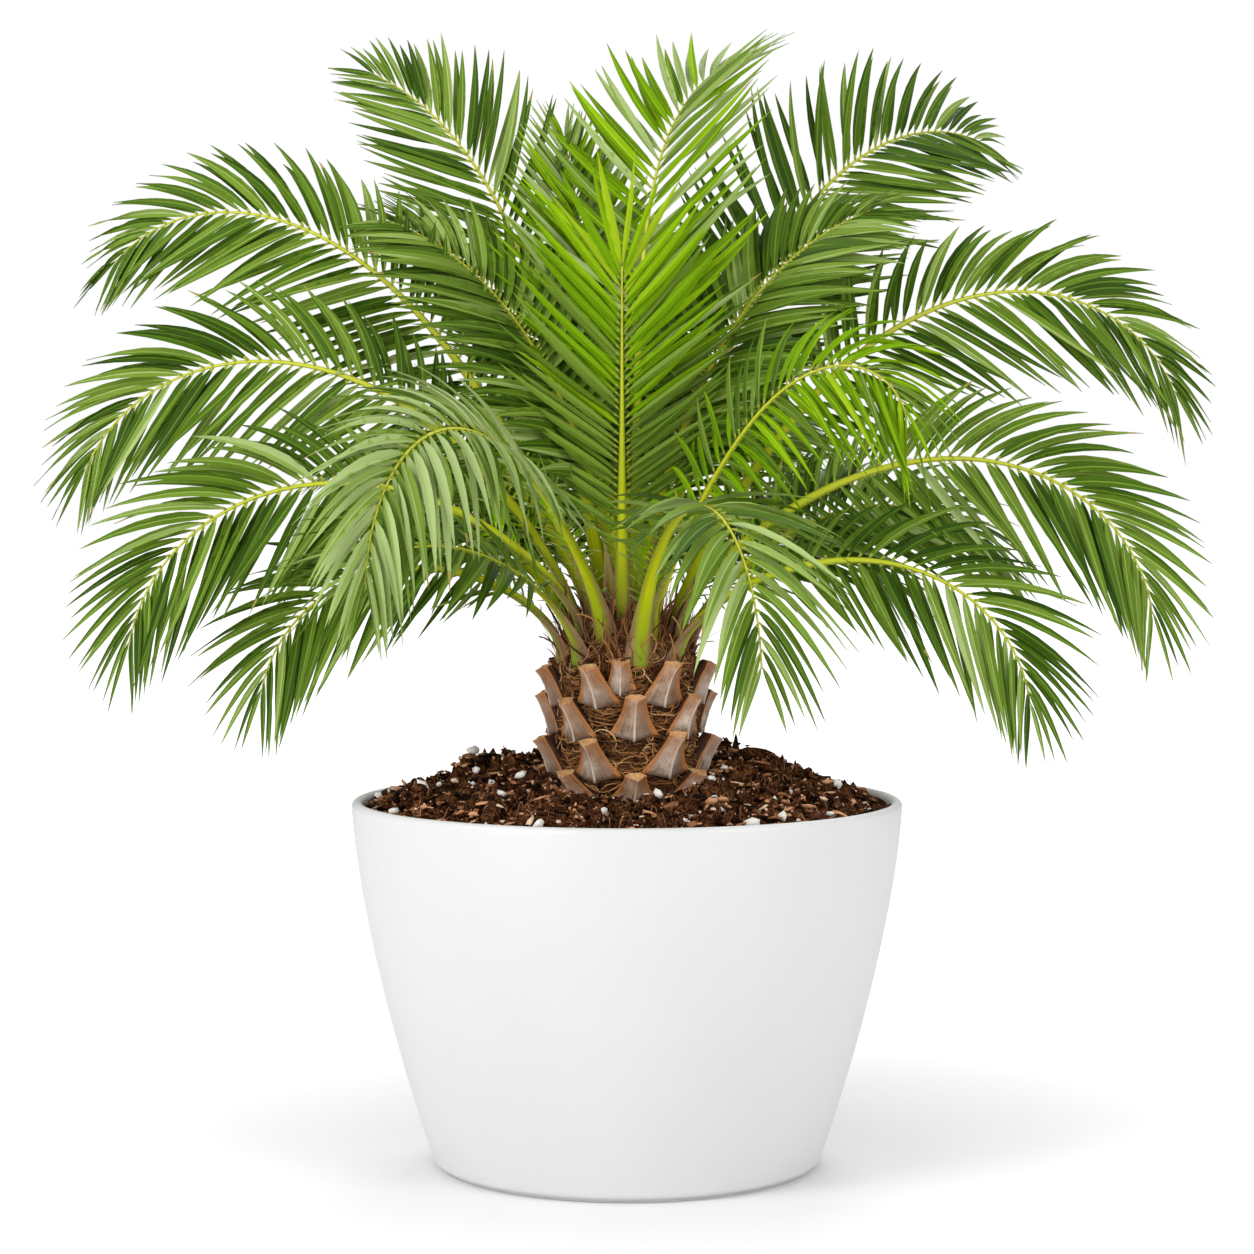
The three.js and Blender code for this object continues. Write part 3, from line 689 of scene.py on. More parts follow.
def bootPoints(boots):
    # each base is a tube of rings. Its half width falls by a power of the height, so its sides are
    # hollow. Its front stands out to a keel between hollow faces with rolled edges, and its foot
    # dips in the middle. The cut top slopes to the front, is inset and closed
    across = np.array([
        -1, -0.93, -0.8, -0.5, -0.22, -0.07, 0, 0.07, 0.22, 0.5, 0.8, 0.93, 1, 0.6, 0.2, -0.2, -0.6])
    front = np.arange(17) < 13
    t = np.concatenate([np.linspace(0, 1, 11), [1, 1, 1]])[:, None]
    inset = np.array([1] * 11 + [0.86, 0.74, 0.2])[:, None]
    sunk = np.array([0] * 11 + [0.5, -1.4, -1.8])[:, None]
    angle, level, foot, cut, rise, lean = np.array(boots, float).T[..., None, None]
    draw = lambda size: rng.normal(0, size, (len(boots), 1, 1))
    half = cut + (foot - cut) * (1 - t) ** 1.9
    keel = np.where(front, (1 - np.abs(across)) ** 1.15, 0)
    ridge = np.where(front, np.exp(-((across / 0.09) ** 2)), 0)
    lip = np.where(front, np.exp(-(((np.abs(across) - 0.93) / 0.07) ** 2)), 0)
    edge = np.interp(level, [466, 594], [93, 88]) + lean * t**1.4
    radial = np.where(front, edge + (10 + 1.5 * t + draw(0.8)) * keel + 1.1 * ridge + 1.3 * lip,
                      58 + (22 + lean) * t**1.1)
    radial = radial + rng.normal(0, 0.3, radial.shape) * (t > 0.02) * (t < 0.99)
    reach = half * (across + draw(0.12) * keel * t) * np.where(front, 1, 0.86)
    slope = np.where(front, -8 * keel * (1 - t) ** 1.5 - 6 * keel * t**4, 2.5 * t**3)
    height = rise * t + slope + draw(0.05) * half * across * t
    # seen from the front, the cut tops spread away from the middle
    reach = reach + (draw(1.5) + trunk["fan"] * np.sin(2 * (angle - 270) * radians)) * t**1.3
    for part in (radial, height):
        middle = part.mean(2, keepdims=True)
        part[:] = middle + (part - middle) * inset
    height = height + sunk
    reach = reach * inset
    angle = angle * radians
    points = np.stack([
        radial * np.cos(angle) - reach * np.sin(angle),
        radial * np.sin(angle) + reach * np.cos(angle),
        level + height], -1)
    return points, surfaceMap(points, across, t * 0.054), len(t), len(across)


def matMaterial():
    # matted brown fibre: level streaks of three browns
    material, tree, place = startMaterial("fibreMat", 0.15)
    level = addNode(tree, "ShaderNodeMapping", {"Vector": place["Object"], "Scale": (60, 60, 520)})
    lines = patches(tree, {"Object": level.outputs[0]}, 1.0, 5.0, 3.2)
    dark, brown, tan = trunk["mat"]
    base = mixColour(tree, patches(tree, place, 50.0, 4.0, 2.4), dark, brown)
    colour = mixColour(tree, lines, base, tan)
    return finishMaterial(material, colour, lines, (0.95, 0.75), lines, 1.0, 0.004)


def bootFaceMaterial():
    # weathered face of a leaf base, in this order: brown and grey streaks, light patches, painted
    # shade that browns the half that faces away from the light, warmer towards the cut, dark at the
    # foot, a painted highlight along the keel, and orange brown along the edges
    material, tree, place = startMaterial("bootFace", 0.45)
    grain = fibres(tree, place, 22.0, 46.0, 4.2)
    split = addNode(tree, "ShaderNodeSeparateXYZ", {"Vector": place["UV"]}).outputs
    away = worked(tree, "ABSOLUTE", split["X"])
    wavy = worked(tree, "MULTIPLY_ADD", grain["Height"], 0.5, away)
    dark, grey, light = trunk["face"]
    face = mixColour(tree, grain["Mask"], dark, grey)
    for value, fromMin, fromMax, toMin, toMax, colour in [
        (patches(tree, place, 55.0, 5.0, 3.0), 0.0, 1.0, 0.0, 0.65, light),
        # painted shade: one half of every base turns darker brown, as if it faced away from the light
        (split["X"], -0.2, 0.45, 0.0, 0.72, trunk["faceShaded"]),
        (split["Y"], 0.015, 0.056, 0.0, 0.6, trunk["edge"]),
        (split["Y"], 0.0, 0.02, 0.6, 0.0, dark),
        # painted highlight: a light line along the keel
        (away, 0.01, 0.075, 0.75, 0.0, light),
        (wavy, 0.9, 1.14, 0.0, 1.0, trunk["edge"]),
    ]:
        face = mixColour(tree, ranged(tree, value, fromMin, fromMax, toMin, toMax), face, colour)
    return finishMaterial(material, face, grain["Mask"], (0.62, 0.4), grain["Height"], 0.8, 0.003)


def bootCutMaterial():
    # the cut end: tan pith with fine pores
    material, tree, place = startMaterial("bootCut")
    pores = patches(tree, place, 400.0, 4.0, 2.6)
    colour = mixColour(tree, pores, trunk["edge"], trunk["cut"])
    return finishMaterial(material, colour, pores, (0.9, 0.7), pores, 0.5, 0.001)


def bootBackMaterial():
    material, tree, place = startMaterial("bootBack")
    grain = fibres(tree, place, 9.0, 40.0, 2.6)
    colour = mixColour(tree, grain["Mask"], *trunk["mat"][:2])
    return finishMaterial(material, colour, grain["Mask"], (0.95, 0.75), grain["Height"], 0.6, 0.002)


def swagPaths(t, draw):
    # fibres that hang in swags from base to base: each runs round the trunk between two
    # neighbours of a row and sinks in the middle by a parabola, with small waves of its own
    shape = (trunk["fibres"]["swags"][0], 1)
    row = rng.integers(-1, len(trunk["bootRows"]) + 1, shape)
    _, start, around, _, _, _ = np.array(trunk["bootRows"]).T[:, np.clip(row, 0, 3)]
    angle = (270 + start + 360 / around * (rng.integers(0, 8, shape) + 0.5)) * radians
    angle = angle + draw(-0.1, 0.1) + draw(0.5, 1.15) * (t - 0.5) * rng.choice([-1, 1], shape)
    sink = draw(3, 22) * (1 - (2 * t - 1) ** 2)
    height = 455 + 48 * row + draw(8, 62) - sink
    height = height + draw(0.6, 3.4) * np.sin(turn * (draw(1, 3.4) * t + draw(0, 1)))
    height = np.clip(height + draw(-6, 6) * t, *trunk["fibreSpan"])
    radius = coreRadius(height) - 2 + draw(0, 8.5) * np.sin(math.pi * t) ** 0.6
    radius = radius + draw(0, 1.5) * np.sin(turn * (draw(1, 3) * t + draw(0, 1)))
    return angle, radius, height


def curlPaths(t, draw, low=474, high=668, largest=13):
    # loose curls: loops and arcs that stand out of the mat
    turns, phase, size = draw(0.4, 1.2), draw(0, turn), draw(3, largest)
    height = draw(low, high) + size * np.sin(turn * turns * t + phase) + draw(-14, 14) * t
    angle = draw(0, turn) + (size / 90) * np.cos(turn * turns * t + phase) + draw(-0.3, 0.3) * t
    radius = coreRadius(height) + draw(3, 9) * np.sin(math.pi * t)
    return angle, radius, height


def collarCurlPaths(t, draw):
    # larger curls between the feet of the stems
    return curlPaths(t, draw, low=634, high=712, largest=26)


def whiskerPaths(t, draw):
    # stray hairs: they leave the mat outwards and bend up or down
    length = draw(10, 36)
    base = draw(476, 672)
    angle = draw(0, turn) + draw(-0.4, 0.4) * t**1.5
    radius = coreRadius(base) - 1 + length * t * draw(0.5, 1)
    return angle, radius, base + length * draw(-0.7, 1) * t**1.6


def collarPaths(t, draw):
    # brown fibres between the stems: they stand up from the trunk's top, lean out and curl over
    foot = 22 + 64 * np.sqrt(draw(0, 1))
    length = 24 + 81 * draw(0, 1) ** 2
    lean = draw(0, 0.28)
    curl = draw(0, 0.5) * draw(0, 1)
    angle = draw(0, turn) + draw(-0.3, 0.3) * t**2 + draw(-0.08, 0.08) * np.sin(turn * t)
    radius = foot + length * (lean * t + curl * t**3)
    base = np.interp(foot, [20, 34, 46, 58, 70, 86], [710, 698, 682, 666, 654, 628])
    return angle, radius, base - 10 + length * (t * (1 - 0.3 * lean) - 0.8 * curl * t**3)


def makeTrunk():
    own = ("trunk", "bark")
    faces = tubeFaces(1, trunk["rows"], trunk["sectors"])
    makePiece(*own, "trunk_fibre_mat", corePoints(), faces, [matMaterial()])

    boots = bootList()
    points, uv, rows, sides = bootPoints(boots)
    # front faces, back faces and the three rings of the cut
    look = np.where(np.arange(sides) < 12, 0, 2)[None] + np.zeros((rows - 1, 1), int)
    look[10:] = 1
    looks = np.concatenate([np.tile(look.ravel(), len(boots)), np.tile([2, 1], len(boots))])
    skins = [bootFaceMaterial(), bootCutMaterial(), bootBackMaterial()]
    faces = tubeFaces(len(boots), rows, sides)
    makePiece(*own, "trunk_leaf_bases", points, faces, skins, looks, uv)

    tints = [grainMaterial(name, 0.2, colour, (700.0, 2.0, 2.0), (0.6, 0.85), 0.3, 0.0004)
             for name, colour in trunk["fibreTints"].items()]
    ways = {"swags": swagPaths, "curls": curlPaths, "collar_curls": collarCurlPaths,
            "whiskers": whiskerPaths, "collar_hairs": collarPaths, "collar_strips": collarPaths}
    for name, (count, rows, thin, thick, odds) in trunk["fibres"].items():
        draw = lambda low, high: rng.uniform(low, high, (count, 1))
        angle, radius, height = ways[name](np.linspace(0, 1, rows), draw)
        makeStrands(*own, "trunk_" + name, polar(radius, angle, height), (thin, thick), tints, odds)
    return len(boots)


print("trunk:", makeTrunk(), "cut leaf bases on a fibre mat")

# The fronds

frond = {
    # for each tier of stems: radius, level, width of the stem's foot and its thickness
    "tiers": [(80, 640, 32, 12), (60, 664, 28, 12), (40, 688, 23, 11), (20, 708, 15, 10)],
    "gap": 0.3,
    "sheath": 45,
    "stemWidth": 23,
    "tipWidth": 2.4,
    "bladeStart": 0.27,
    "pairPitch": 14.2,
    "leafLength": 160,
    "leafWidth": 14.6,
    "openFoot": 65,
    "rankSpread": 6,
    "fold": 14,
    "sag": 0.27,
    "hang": 0.09,
    "sweep": 0.20,
    "spinePitch": 9,
    # where the spines begin above the seat, and their least length and width and what is added
    "spineStart": 70,
    "spineLength": (14, 78),
    "spineWidth": (2.2, 5.2),
    "ribRows": 72,
    "ribSides": 14,
    # a leaflet's stations from its root to its tip, and the corners of its fold at each
    "leafRows": 9,
    "leafSides": 5,
    # what a row of the list below leaves out: how much longer, wider, denser, wider open, more
    # sagging and more hanging its leaflets are than usual, the share in which the rib rolls over,
    # how short they are at the tip and at the foot, their angle at the tip, how far the last ones
    # close, and their tint
    "usual": {
        "leaf": 1, "wide": 1, "dense": 1, "open": 1, "sag": 1, "hang": 1, "twist": 0.35,
        "tipShort": 0.4, "footShort": 0, "openTip": 23, "tuft": 0.3, "tone": 0, "tint": "plain",
    },
    "skin": {
        "young": (0.60, 0.64, 0.006),
        "old": (0.62, 0.62, 0.060),
        "foot": (0.170, 0.250, 0.010),
        "streak": (0.26, 0.36, 0.005),
        # painted shade round the sides of the stem
        "side": (0.15, 0.20, 0.004),
        "margin": [(0.120, 0.050, 0.024), (0.400, 0.235, 0.140)],
    },
}

# name, tier, seat, heading, rise, droop, bend, length, swing, roll, and what sets the frond apart
shown = [
    ("back_left_top", 2, 140, 133, 75, 52, 2.4, 872, 14, -49,
     {"leaf": 1.08, "hang": 0.0, "sag": 0.35, "wide": 1.05}),
    ("left_high", 2, 190, 169, 60, 108, 3, 930, -3, -75,
     {"tone": -0.45, "wide": 1.05, "footShort": 0.2}),
    ("left_middle", 1, 168, 183, 59, 126, 1.95, 850, 0, -75, {"tone": -0.2, "footShort": 0.35}),
    ("left_low", 1, 205, 192, 46, 126, 1.6, 748, 0, -65, {"tone": -0.5, "footShort": 0.4}),
    ("left_lowest", 0, 188, 197, 39, 119, 1.5, 515, 0, -60,
     {"leaf": 0.92, "tone": -0.1, "footShort": 0.4}),
    ("left_front_low", 0, 222, 215, 43, 90, 1.8, 430, 0, -30, {}),
    ("left_front", 1, 242, 242, 47, 130, 2.1, 786, 7, -40,
     {"tint": "pale", "tone": 0.5, "wide": 1.15, "sag": 1.2}),
    ("front", 2, 261, 270, 84, 18, 2.5, 455, 0, 0,
     {"open": 0.92, "openTip": 40, "tuft": 0.75, "sag": 0.5, "hang": 0.2, "leaf": 1.08,
      "tipShort": -0.3, "wide": 0.78, "dense": 1.5, "tint": "bright"}),
    ("front_right", 0, 281, 286, 61, 146, 1.4, 645, 4, 0,
     {"tint": "pale", "tone": -1.15, "dense": 0.88, "wide": 1.2, "openTip": 33, "tuft": 0.1,
      "footShort": 0.3}),
    ("right_front", 1, 298, 321, 59, 135, 3.6, 603, -2, 62,
     {"tint": "fresh", "wide": 0.8, "dense": 1.15, "sag": 1.8}),
    ("right_lowest", 0, 319, 339, 33, 116, 1.75, 595, -2, 60,
     {"leaf": 0.92, "tone": -0.45, "footShort": 0.4}),
    ("right_low", 1, 338, 348, 44, 127, 1.9, 791, -2, 65, {"tone": 0.1, "footShort": 0.45}),
    ("right_middle", 1, 15, 13, 60, 127, 2.3, 962, 2, 72, {"tone": -0.05, "footShort": 0.35}),
    ("right_high", 2, 40, 42, 69, 82, 2.3, 1015, 3, 55,
     {"leaf": 1.15, "openTip": 36, "twist": 0.6, "hang": 0.3, "sag": 0.5, "wide": 1.05,
      "tone": -0.9}),
    ("back_right_top", 3, 55, 85, 88, 62, 2.6, 782, -37, 0,
     {"openTip": 33, "tuft": 0.35, "hang": 0.1, "sag": 0.3, "leaf": 1.2, "tipShort": 0.1,
      "tint": "young"}),
    ("centre_left", 3, 235, 168, 75, 55, 2.2, 600, 0, -40, {"dense": 2.0, "wide": 1.1, "tone": 0.2}),
    ("centre_right", 3, 325, 15, 75, 55, 2.2, 620, 0, 40, {"dense": 2.0, "wide": 1.1, "tone": 0.2}),
    ("back_top", 3, 150, 112, 80, 20, 2, 640, 0, 0,
     {"hang": 0.1, "sag": 0.4, "dense": 1.5, "tint": "young"}),
]
# name, tier, first seat, step, count, rise, droop, bend and length of the far side's rows
farRows = [
    ("back_low", 0, 16, 32, 5, 47, 96, 1.7, 520),
    ("back_middle", 1, 68, 32, 3, 50, 100, 2, 740),
    ("back_high", 2, 90, 60, 1, 66, 84, 2.3, 820),
]


def frondList():
    # the fronds of the front view, then the source's rule for the far side
    keys = ("name", "tier", "seat", "heading", "rise", "droop", "bend", "length", "swing", "roll")
    fronds = [{**frond["usual"], **dict(zip(keys, row)), **row[-1]} for row in shown]
    for r, (name, tier, first, step, count, rise, droop, bend, length) in enumerate(farRows):
        for i in range(count):
            vary = float(chance(r * 10 + i)) - 0.5
            seat = first + step * i
            fronds.append({
                **frond["usual"], "name": f"{name}_{i + 1}", "tier": tier, "seat": seat,
                "heading": seat + 6 * vary, "rise": rise + 6 * vary, "droop": droop, "bend": bend,
                "length": length * (1 + 0.12 * vary), "swing": 10 * vary,
                "roll": 40 * math.cos(seat * radians), "dense": 1.4, "wide": 1.1,
            })
    return fronds


def ribOf(row):
    # the source's rib: upright at its seat, opening to its rise within the sheath's length and
    # drooping by a power of the share of its length
    radius, level, _, _ = frond["tiers"][row["tier"]]
    share = np.linspace(0, 1, 241)
    upright = (90 - row["rise"]) * np.exp(-share * row["length"] / frond["sheath"])
    climb = (row["rise"] + upright - row["droop"] * share ** row["bend"]) * radians
    heading = (row["heading"] + row["swing"] * share**2) * radians
    flatPart = np.cos(climb)
    ahead = np.stack([flatPart * np.cos(heading), flatPart * np.sin(heading), np.sin(climb)], -1)
    seat = row["seat"] * radians
    start = np.array([radius * math.cos(seat), radius * math.sin(seat), level + frond["gap"]])
    steps = 0.5 * (ahead[1:] + ahead[:-1]) * row["length"] / 240
    at = start + np.concatenate([np.zeros((1, 3)), np.cumsum(steps, 0)])
    roll = row["roll"] * radians * np.minimum(1, share / row["twist"])
    flat = np.stack([-np.sin(heading), np.cos(heading), 0 * heading], -1)
    across, over = rolled(flat, np.cross(ahead, flat), roll[:, None])
    return {"share": share, "at": at, "ahead": ahead, "across": across, "over": over}


def readRib(rib, key, share):
    # one of the rib's lists of vectors, read at any shares of its length
    return np.stack([np.interp(share, rib["share"], rib[key][:, k]) for k in range(3)], -1)


def ribSize(row, share, run):
    # the width falls by the square of what is left of the length, less wide on short fronds, from
    # a sheath at the foot that dies away within a few centimetres; the depth is about half of it
    sheath = 1.25 * frond["tiers"][row["tier"]][2] * np.exp(-((run / 38) ** 1.3))
    grown = min(1, 0.55 + row["length"] / 1400)
    stem = frond["tipWidth"] + frond["stemWidth"] * (1 - share) ** 2 * grown
    wide = np.maximum(stem, 0) + sheath * np.clip(1 - 0.42 * stem / 20, 0, 1)
    return wide, 0.8 + 0.46 * stem + 0.12 * sheath


def ribPoints(row, rib):
    # rings of corners: rounded below, flatter above with a shallow groove, and a sheath
    # whose sides bend in towards the trunk. It starts below its seat, inside the fibre
    share = np.linspace(0, 1, frond["ribRows"]) ** 1.35
    sunk = np.array([14, 9, 4]) / row["length"]
    below = np.concatenate([sunk, 0 * share]) * row["length"]
    share = np.concatenate([0 * sunk, share])
    run = share * row["length"] - below
    inward = rib["at"][0] * (1, 1, 0) / frond["tiers"][row["tier"]][0]
    centre = readRib(rib, "at", share) - below[:, None] * (readRib(rib, "ahead", share) + inward)
    wide, deep = ribSize(row, share, np.maximum(run, 0))
    angle = np.arange(frond["ribSides"]) * turn / frond["ribSides"]
    x, y = np.cos(angle), np.sin(angle)
    clasp = np.exp(-np.maximum(run, 0) / 42)[:, None]
    groove = 0.14 * np.exp(-((x / 0.4) ** 2)) * (y > 0)
    thin = 1 - 0.55 * clasp * x**2  # the sheath's sides are thinner than its middle
    overPart = np.where(y > 0, 0.38 * y - groove, 0.62 * y) * deep[:, None] * thin
    overPart = overPart + clasp * 0.20 * wide[:, None] * x**2
    acrossPart = 0.5 * wide[:, None] * x
    points = centre[:, None] + acrossPart[..., None] * unit(readRib(rib, "across", share))[:, None]
    points = points + overPart[..., None] * unit(readRib(rib, "over", share))[:, None]
    return points, surfaceMap(points, x, (run / 1000)[:, None])


def leafPoints(root, way, rail, over, length, width, sag, sweep, twist, fold):
    # many leaflets at once, on nine stations from root to tip. The middle line leaves along the
    # way, sinks by the square of the share and sweeps a little towards the frond's end. The two
    # halves stand up from it in a fold that opens towards the tip, either side of a narrow line
    t = np.array([0, 0.05, 0.14, 0.28, 0.44, 0.6, 0.76, 0.9, 1])
    form = np.array([0.24, 0.42, 0.80, 1.0, 0.97, 0.83, 0.57, 0.28, 0.03])  # width at each
    column = lambda values: np.asarray(values, float).reshape(-1, 1, 1)
    ts, size = t[None, :, None], column(length)
    down = np.array([0, 0, -1.0])
    bow = column(sag) * down + column(sweep) * rail[:, None]
    line = root[:, None] + size * (ts * way[:, None] + ts**2 * bow)
    forward = unit(np.gradient(line, t, axis=1))
    wide = unit(rail[:, None] - forward * np.sum(rail[:, None] * forward, -1, keepdims=True))
    thick = np.cross(forward, wide)
    # the fold opens towards the rib's upper side, as it lies a third of the way out
    facing = np.sign(np.sum(thick * over[:, None], -1, keepdims=True) + 1e-9)[:, 3:4]
    wide, thick = wide * facing, thick * facing
    wide, thick = rolled(wide, thick, column(twist) * ts**1.2)
    half = 0.5 * column(width) * form[None, :, None]
    rise = column(fold) * (1.25 - 0.8 * ts)
    lineWidth = 0.1 * half + 0.15
    ring = [
        line + half * (wide * np.cos(rise) + thick * np.sin(rise)),
        line + lineWidth * wide + thick * 0.3,
        line - lineWidth * wide + thick * 0.3,
        line + half * (thick * np.sin(rise) - wide * np.cos(rise)),
        line - thick * (0.4 + 0.5 * (1 - ts)),
    ]
    points = np.stack(ring, 2)
    lengthwise = ts * size / 1000 + column(rng.uniform(0, 9, len(root)))
    return points, surfaceMap(points, [1, 0.56, 0.44, 0, 0.5], lengthwise)


def leafStart(row, rib, share, side, lift, opening, inset):
    # where each leaflet leaves the rib: its root, its way out, the rib's way and its upper side
    rail, across, over = (unit(readRib(rib, key, share)) for key in ("ahead", "across", "over"))
    out = across * (side * np.cos(lift))[:, None] + over * np.sin(lift)[:, None]
    way = rail * np.cos(opening)[:, None] + out * np.sin(opening)[:, None]
    wide, deep = ribSize(row, share, share * row["length"])
    root = readRib(rib, "at", share) + across * (side * wide * 0.36)[:, None]
    return root + over * (deep * inset)[:, None], way, rail, over


def growLeaflets(row, rib):
    # the source's rule with the leaflets at their real spacing: wide open at the blade's foot and
    # closing to the rib at its tip, in two ranks, hanging at their ends
    start = frond["bladeStart"]
    pairs = max(6, round(row["length"] * (1 - start) / (frond["pairPitch"] / row["dense"])))
    pair = np.repeat(np.arange(pairs), 2)
    side = np.tile([1, -1], pairs)
    count = len(pair)
    blade = np.clip((pair + 0.3 + rng.normal(0, 0.11, count)) / (pairs - 0.6), 0, 1)
    share = start + (1 - start) * blade
    vary = rng.uniform(-0.5, 0.5, count)
    length = frond["leafLength"] * row["leaf"] * (0.62 + 0.38 * np.sin(math.pi * blade**0.8))
    length = length * (1 - row["tipShort"] * blade**5)
    length = length * (1 - row["footShort"] * (1 - blade) ** 3)
    width = frond["leafWidth"] * row["wide"] * np.minimum(1, length / frond["leafLength"] + 0.1)
    width = width * rng.uniform(0.85, 1.1, count)
    length = length * (1 + 0.12 * vary)
    rank = np.where((pair + (side < 0)) % 2 == 0, 1, -1)
    opening = (frond["openFoot"] - (frond["openFoot"] - row["openTip"]) * blade**1.5) * row["open"]
    # the last few leaflets close into a tuft
    opening = opening * (1 - row["tuft"] * np.exp(-(((pairs - 1 - pair) / 1.8) ** 2)))
    opening = (opening + rng.normal(0, 1.9, count)) * radians
    lift = (frond["fold"] + rank * frond["rankSpread"] + rng.normal(0, 2.4, count)) * radians
    root, way, rail, over = leafStart(row, rib, share, side, lift, opening, 0.14)
    way = unit(way - (0, 0, frond["hang"] * row["hang"]))
    sag = frond["sag"] * row["sag"] * rng.uniform(0.75, 1.3, count)
    sweep = frond["sweep"] * rng.uniform(0.5, 1.4, count)
    twist = rng.normal(0, 0.2, count)
    fold = rng.uniform(0.35, 0.75, count)
    points, uv = leafPoints(root, way, rail, over, length, width, sag, sweep, twist, fold)
    return points, uv, blade


def growSpines(row, rib):
    # below the blade the leaflets are thin curved spines, longer towards the blade
    first = frond["spineStart"] / row["length"]
    reach = frond["bladeStart"] - first
    count = 2 * max(3, round(reach * row["length"] / frond["spinePitch"]))
    part = np.clip(np.repeat(np.linspace(0, 1, count // 2), 2) + rng.normal(0, 0.02, count), 0, 1)
    opening = rng.uniform(38, 66, count) * radians
    lift = rng.uniform(-12, 42, count) * radians
    side = np.tile([1, -1], count // 2)
    root, way, rail, over = leafStart(row, rib, first + reach * part, side, lift, opening, 0)
    spans = frond["spineLength"], frond["spineWidth"]
    length, width = (least + more * part**1.5 for least, more in spans)
    length = length * rng.uniform(0.8, 1.2, count)
    sag = rng.uniform(0.05, 0.3, count)
    sweep, fold = np.full(count, 0.08), np.full(count, 0.5)
    twist = rng.normal(0, 0.3, count)
    return leafPoints(root, unit(way), rail, over, length, width, sag, sweep, twist, fold)


leafTints = {
    "leafDeep": (0.030, 0.072, 0.003),
    "leafDark": (0.056, 0.121, 0.005),
    "leafMid": (0.098, 0.180, 0.009),
    "leafFresh": (0.155, 0.250, 0.024),
    "leafLight": (0.235, 0.338, 0.070),
    "leafPale": (0.345, 0.445, 0.160),
    # these three: partly the young leaflets' own yellow green, partly painted light shining through
    "leafBright": (0.160, 0.315, 0.003),
    "leafVivid": (0.235, 0.415, 0.004),
    "leafYellow": (0.345, 0.500, 0.015),
    "leafFoot": (0.350, 0.420, 0.055),
    "leafTip": (0.330, 0.270, 0.070),
    "leafSpring": (0.118, 0.225, 0.005),
}
footTint, tipTint = 9, 10
# for each tint in that order, the one a step lighter: for the paler underside and for painted light
lighter = np.array([1, 2, 3, 4, 5, 5, 7, 8, 8, 9, 10, 6])
# the tints that a leaflet may take, dark to light, by the frond's tint, and where on that scale
# the leaflets at the foot of the blade and at its tip lie, how far they vary and how late they turn
deals = {
    "plain": ([0, 1, 2, 3, 4, 5], 1.2, 1.65, 1.05, 1),
    "pale": ([0, 1, 2, 3, 4, 5], 2.4, 3.9, 1.15, 1),
    "fresh": ([0, 1, 2, 11, 6, 7], 2.3, 3.6, 0.8, 1),
    "young": ([0, 1, 2, 11, 4, 6], 2.7, 4.2, 0.8, 1),
    "bright": ([1, 2, 11, 6, 7, 8], 0.7, 3.4, 0.5, 1.5),
}


def leafMaterial(name, colour):
    # a waxy leaf of one plain tint with fine lengthwise veins. The brightest greens keep their
    # depth with less shine
    material, tree, place = startMaterial(name, 0.04 if colour[1] > 28 * colour[2] else 0.12)
    veins = fibres(tree, place, 8.0, 5.0, 2.6)
    return finishMaterial(material, colour, veins["Mask"], (0.32, 0.52), veins["Height"], 0.7, 0.0016)


def ribMaterial():
    # yellow green skin with fine streaks, olive at the foot, painted shade darker round the sides,
    # and grey brown margins that close over the foot
    material, tree, place = startMaterial("ribSkin", 0.15)
    grain = fibres(tree, place, 3.4, 14.0, 2.0)
    split = addNode(tree, "ShaderNodeSeparateXYZ", {"Vector": place["UV"]}).outputs
    away = worked(tree, "ABSOLUTE", split["X"])
    wavy = worked(tree, "MULTIPLY_ADD", grain["Height"], 0.35, away)
    sheath = worked(tree, "ADD", wavy, ranged(tree, split["Y"], -0.01, 0.12, 0.28, -0.6))
    tints = frond["skin"]
    skin = mixColour(tree, ranged(tree, split["Y"], 0.1, 0.5), tints["young"], tints["old"])
    skin = mixColour(tree, ranged(tree, split["Y"], 0.0, 0.11), tints["foot"], skin)
    skin = mixColour(tree, ranged(tree, grain["Mask"], toMax=0.5), skin, tints["streak"])
    # painted shade: the round sides of the stem turn darker olive
    skin = mixColour(tree, ranged(tree, away, 0.35, 1.0, 0.0, 0.7), skin, tints["side"])
    brown = mixColour(tree, grain["Mask"], *tints["margin"])
    skin = mixColour(tree, ranged(tree, sheath, 0.46, 1.06), skin, brown)
    return finishMaterial(material, skin, grain["Mask"], (0.34, 0.5), grain["Height"], 0.3, 0.001)


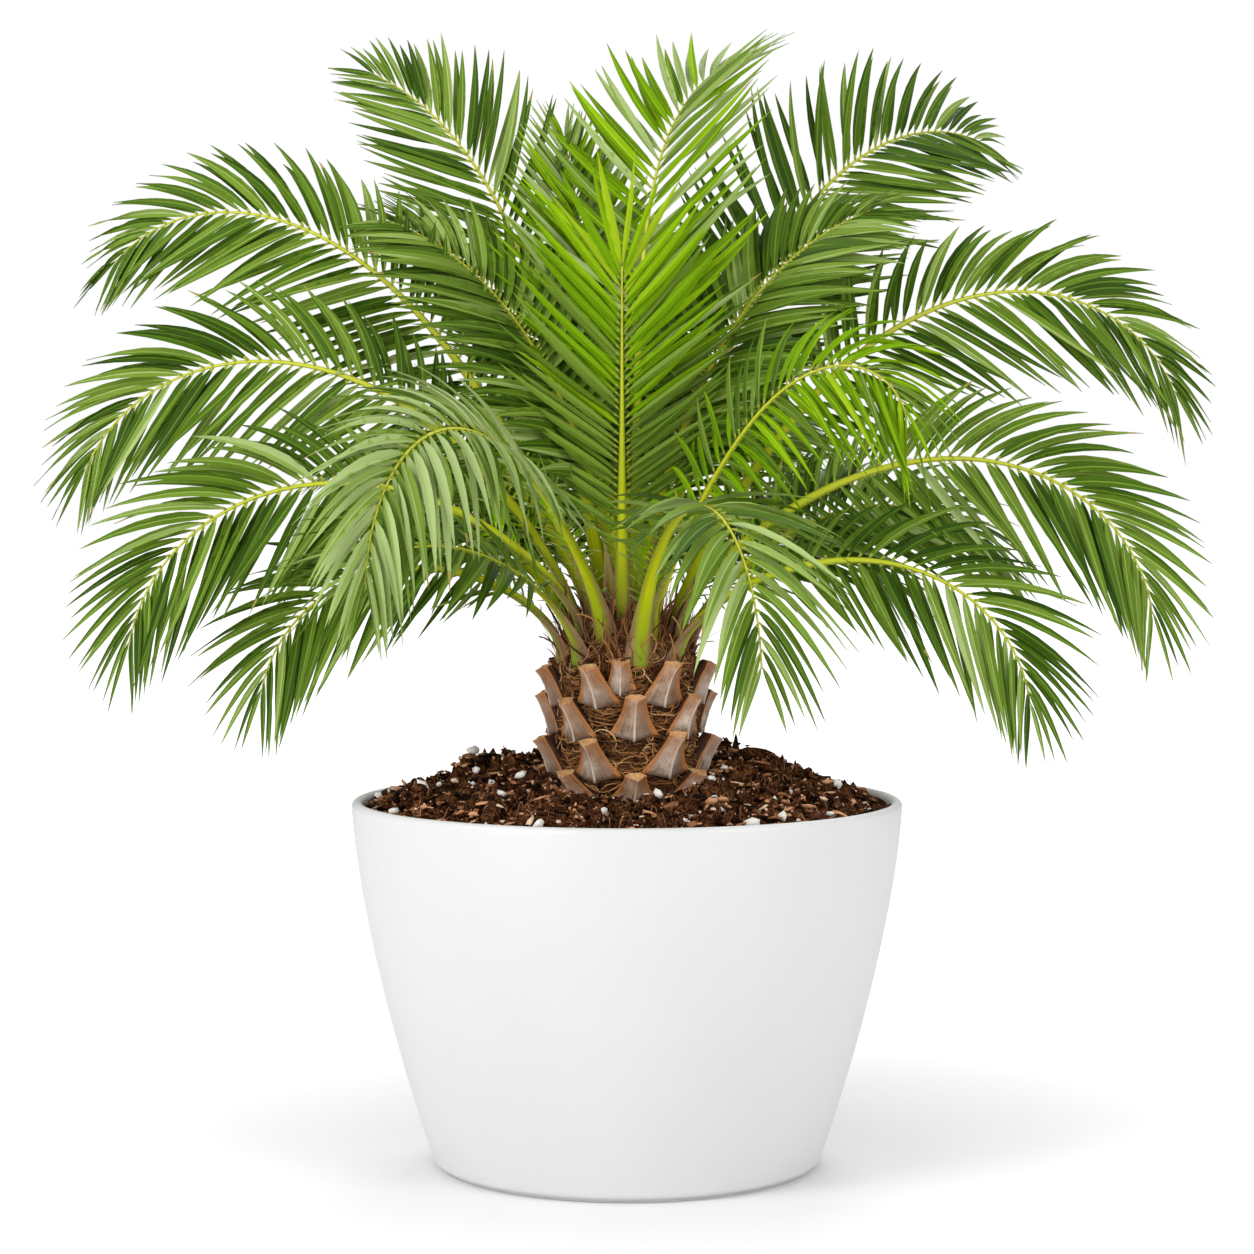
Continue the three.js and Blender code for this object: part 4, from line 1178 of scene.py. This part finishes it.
def dealTints(row, blade):
    # a tint for each leaflet from the frond's own scale, rising from the foot of the blade to its
    # tip, with a bell-shaped spread. The underside is paler, painted light lightens the middle line
    # and mostly one half of the fold, the root takes the light foot tint, and now and then the tip is
    # dry
    scale, foot, tip, vary, late = deals[row["tint"]]
    count = len(blade)
    level = foot + (tip - foot) * blade**late + row["tone"] + rng.normal(0, vary, count)
    pick = np.array(scale)[np.clip(np.round(level), 0, 5).astype(int)]
    # bands from the root to the tip, and in each the faces between its corners
    last = frond["leafRows"] - 2
    look = np.tile(pick[:, None, None], (1, last + 1, frond["leafSides"]))
    lit = rng.random(count)
    # painted light: mostly one half of the fold takes the lighter tint
    look[lit < 0.38, :, 0] = lighter[pick[lit < 0.38]][:, None]
    look[lit > 0.62, :, 2] = lighter[pick[lit > 0.62]][:, None]
    # painted highlight: the narrow middle line is two steps lighter
    look[:, :, 1] = lighter[lighter[pick]][:, None]
    look[:, :, 3:] = lighter[pick][:, None, None]
    look[:, 0] = footTint
    look[rng.random(count) < 0.05, last] = tipTint
    return look.ravel(), look[:, [0, last], 0].ravel()


def makeFronds():
    greens = [leafMaterial(name, colour) for name, colour in leafTints.items()]
    skin = [ribMaterial()]
    sides, leaflets = frond["leafSides"], 0
    for row in frondList():
        rib = ribOf(row)
        bright = row["tint"] in ("bright", "fresh", "young")
        own = ("frond_" + row["name"], "frond_bright" if bright else "frond_green")
        points, uv = ribPoints(row, rib)
        faces = tubeFaces(1, len(points), frond["ribSides"])
        makePiece(*own, "rib_" + row["name"], points, faces, skin, 0, uv)

        points, uv, blade = growLeaflets(row, rib)
        body, ends = dealTints(row, blade)
        spinePoints, spineUv = growSpines(row, rib)
        spines = len(spinePoints)
        # a spine's faces: light at the root, green along it and dry at the tip
        spineBody = np.repeat(np.tile([footTint, 8, 6, 3, 3, 4, 9, tipTint], spines), sides)
        looks = [body, spineBody, ends, np.tile([footTint, tipTint], spines)]
        faces = tubeFaces(len(points) + spines, frond["leafRows"], sides)
        allPoints, allUv = np.concatenate([points, spinePoints]), np.concatenate([uv, spineUv])
        makePiece(*own, "leaflets_" + row["name"], allPoints, faces, greens, np.concatenate(looks),
                  allUv, crease=sides)
        leaflets += len(points)
    return leaflets


print("fronds:", makeFronds(), "leaflets")
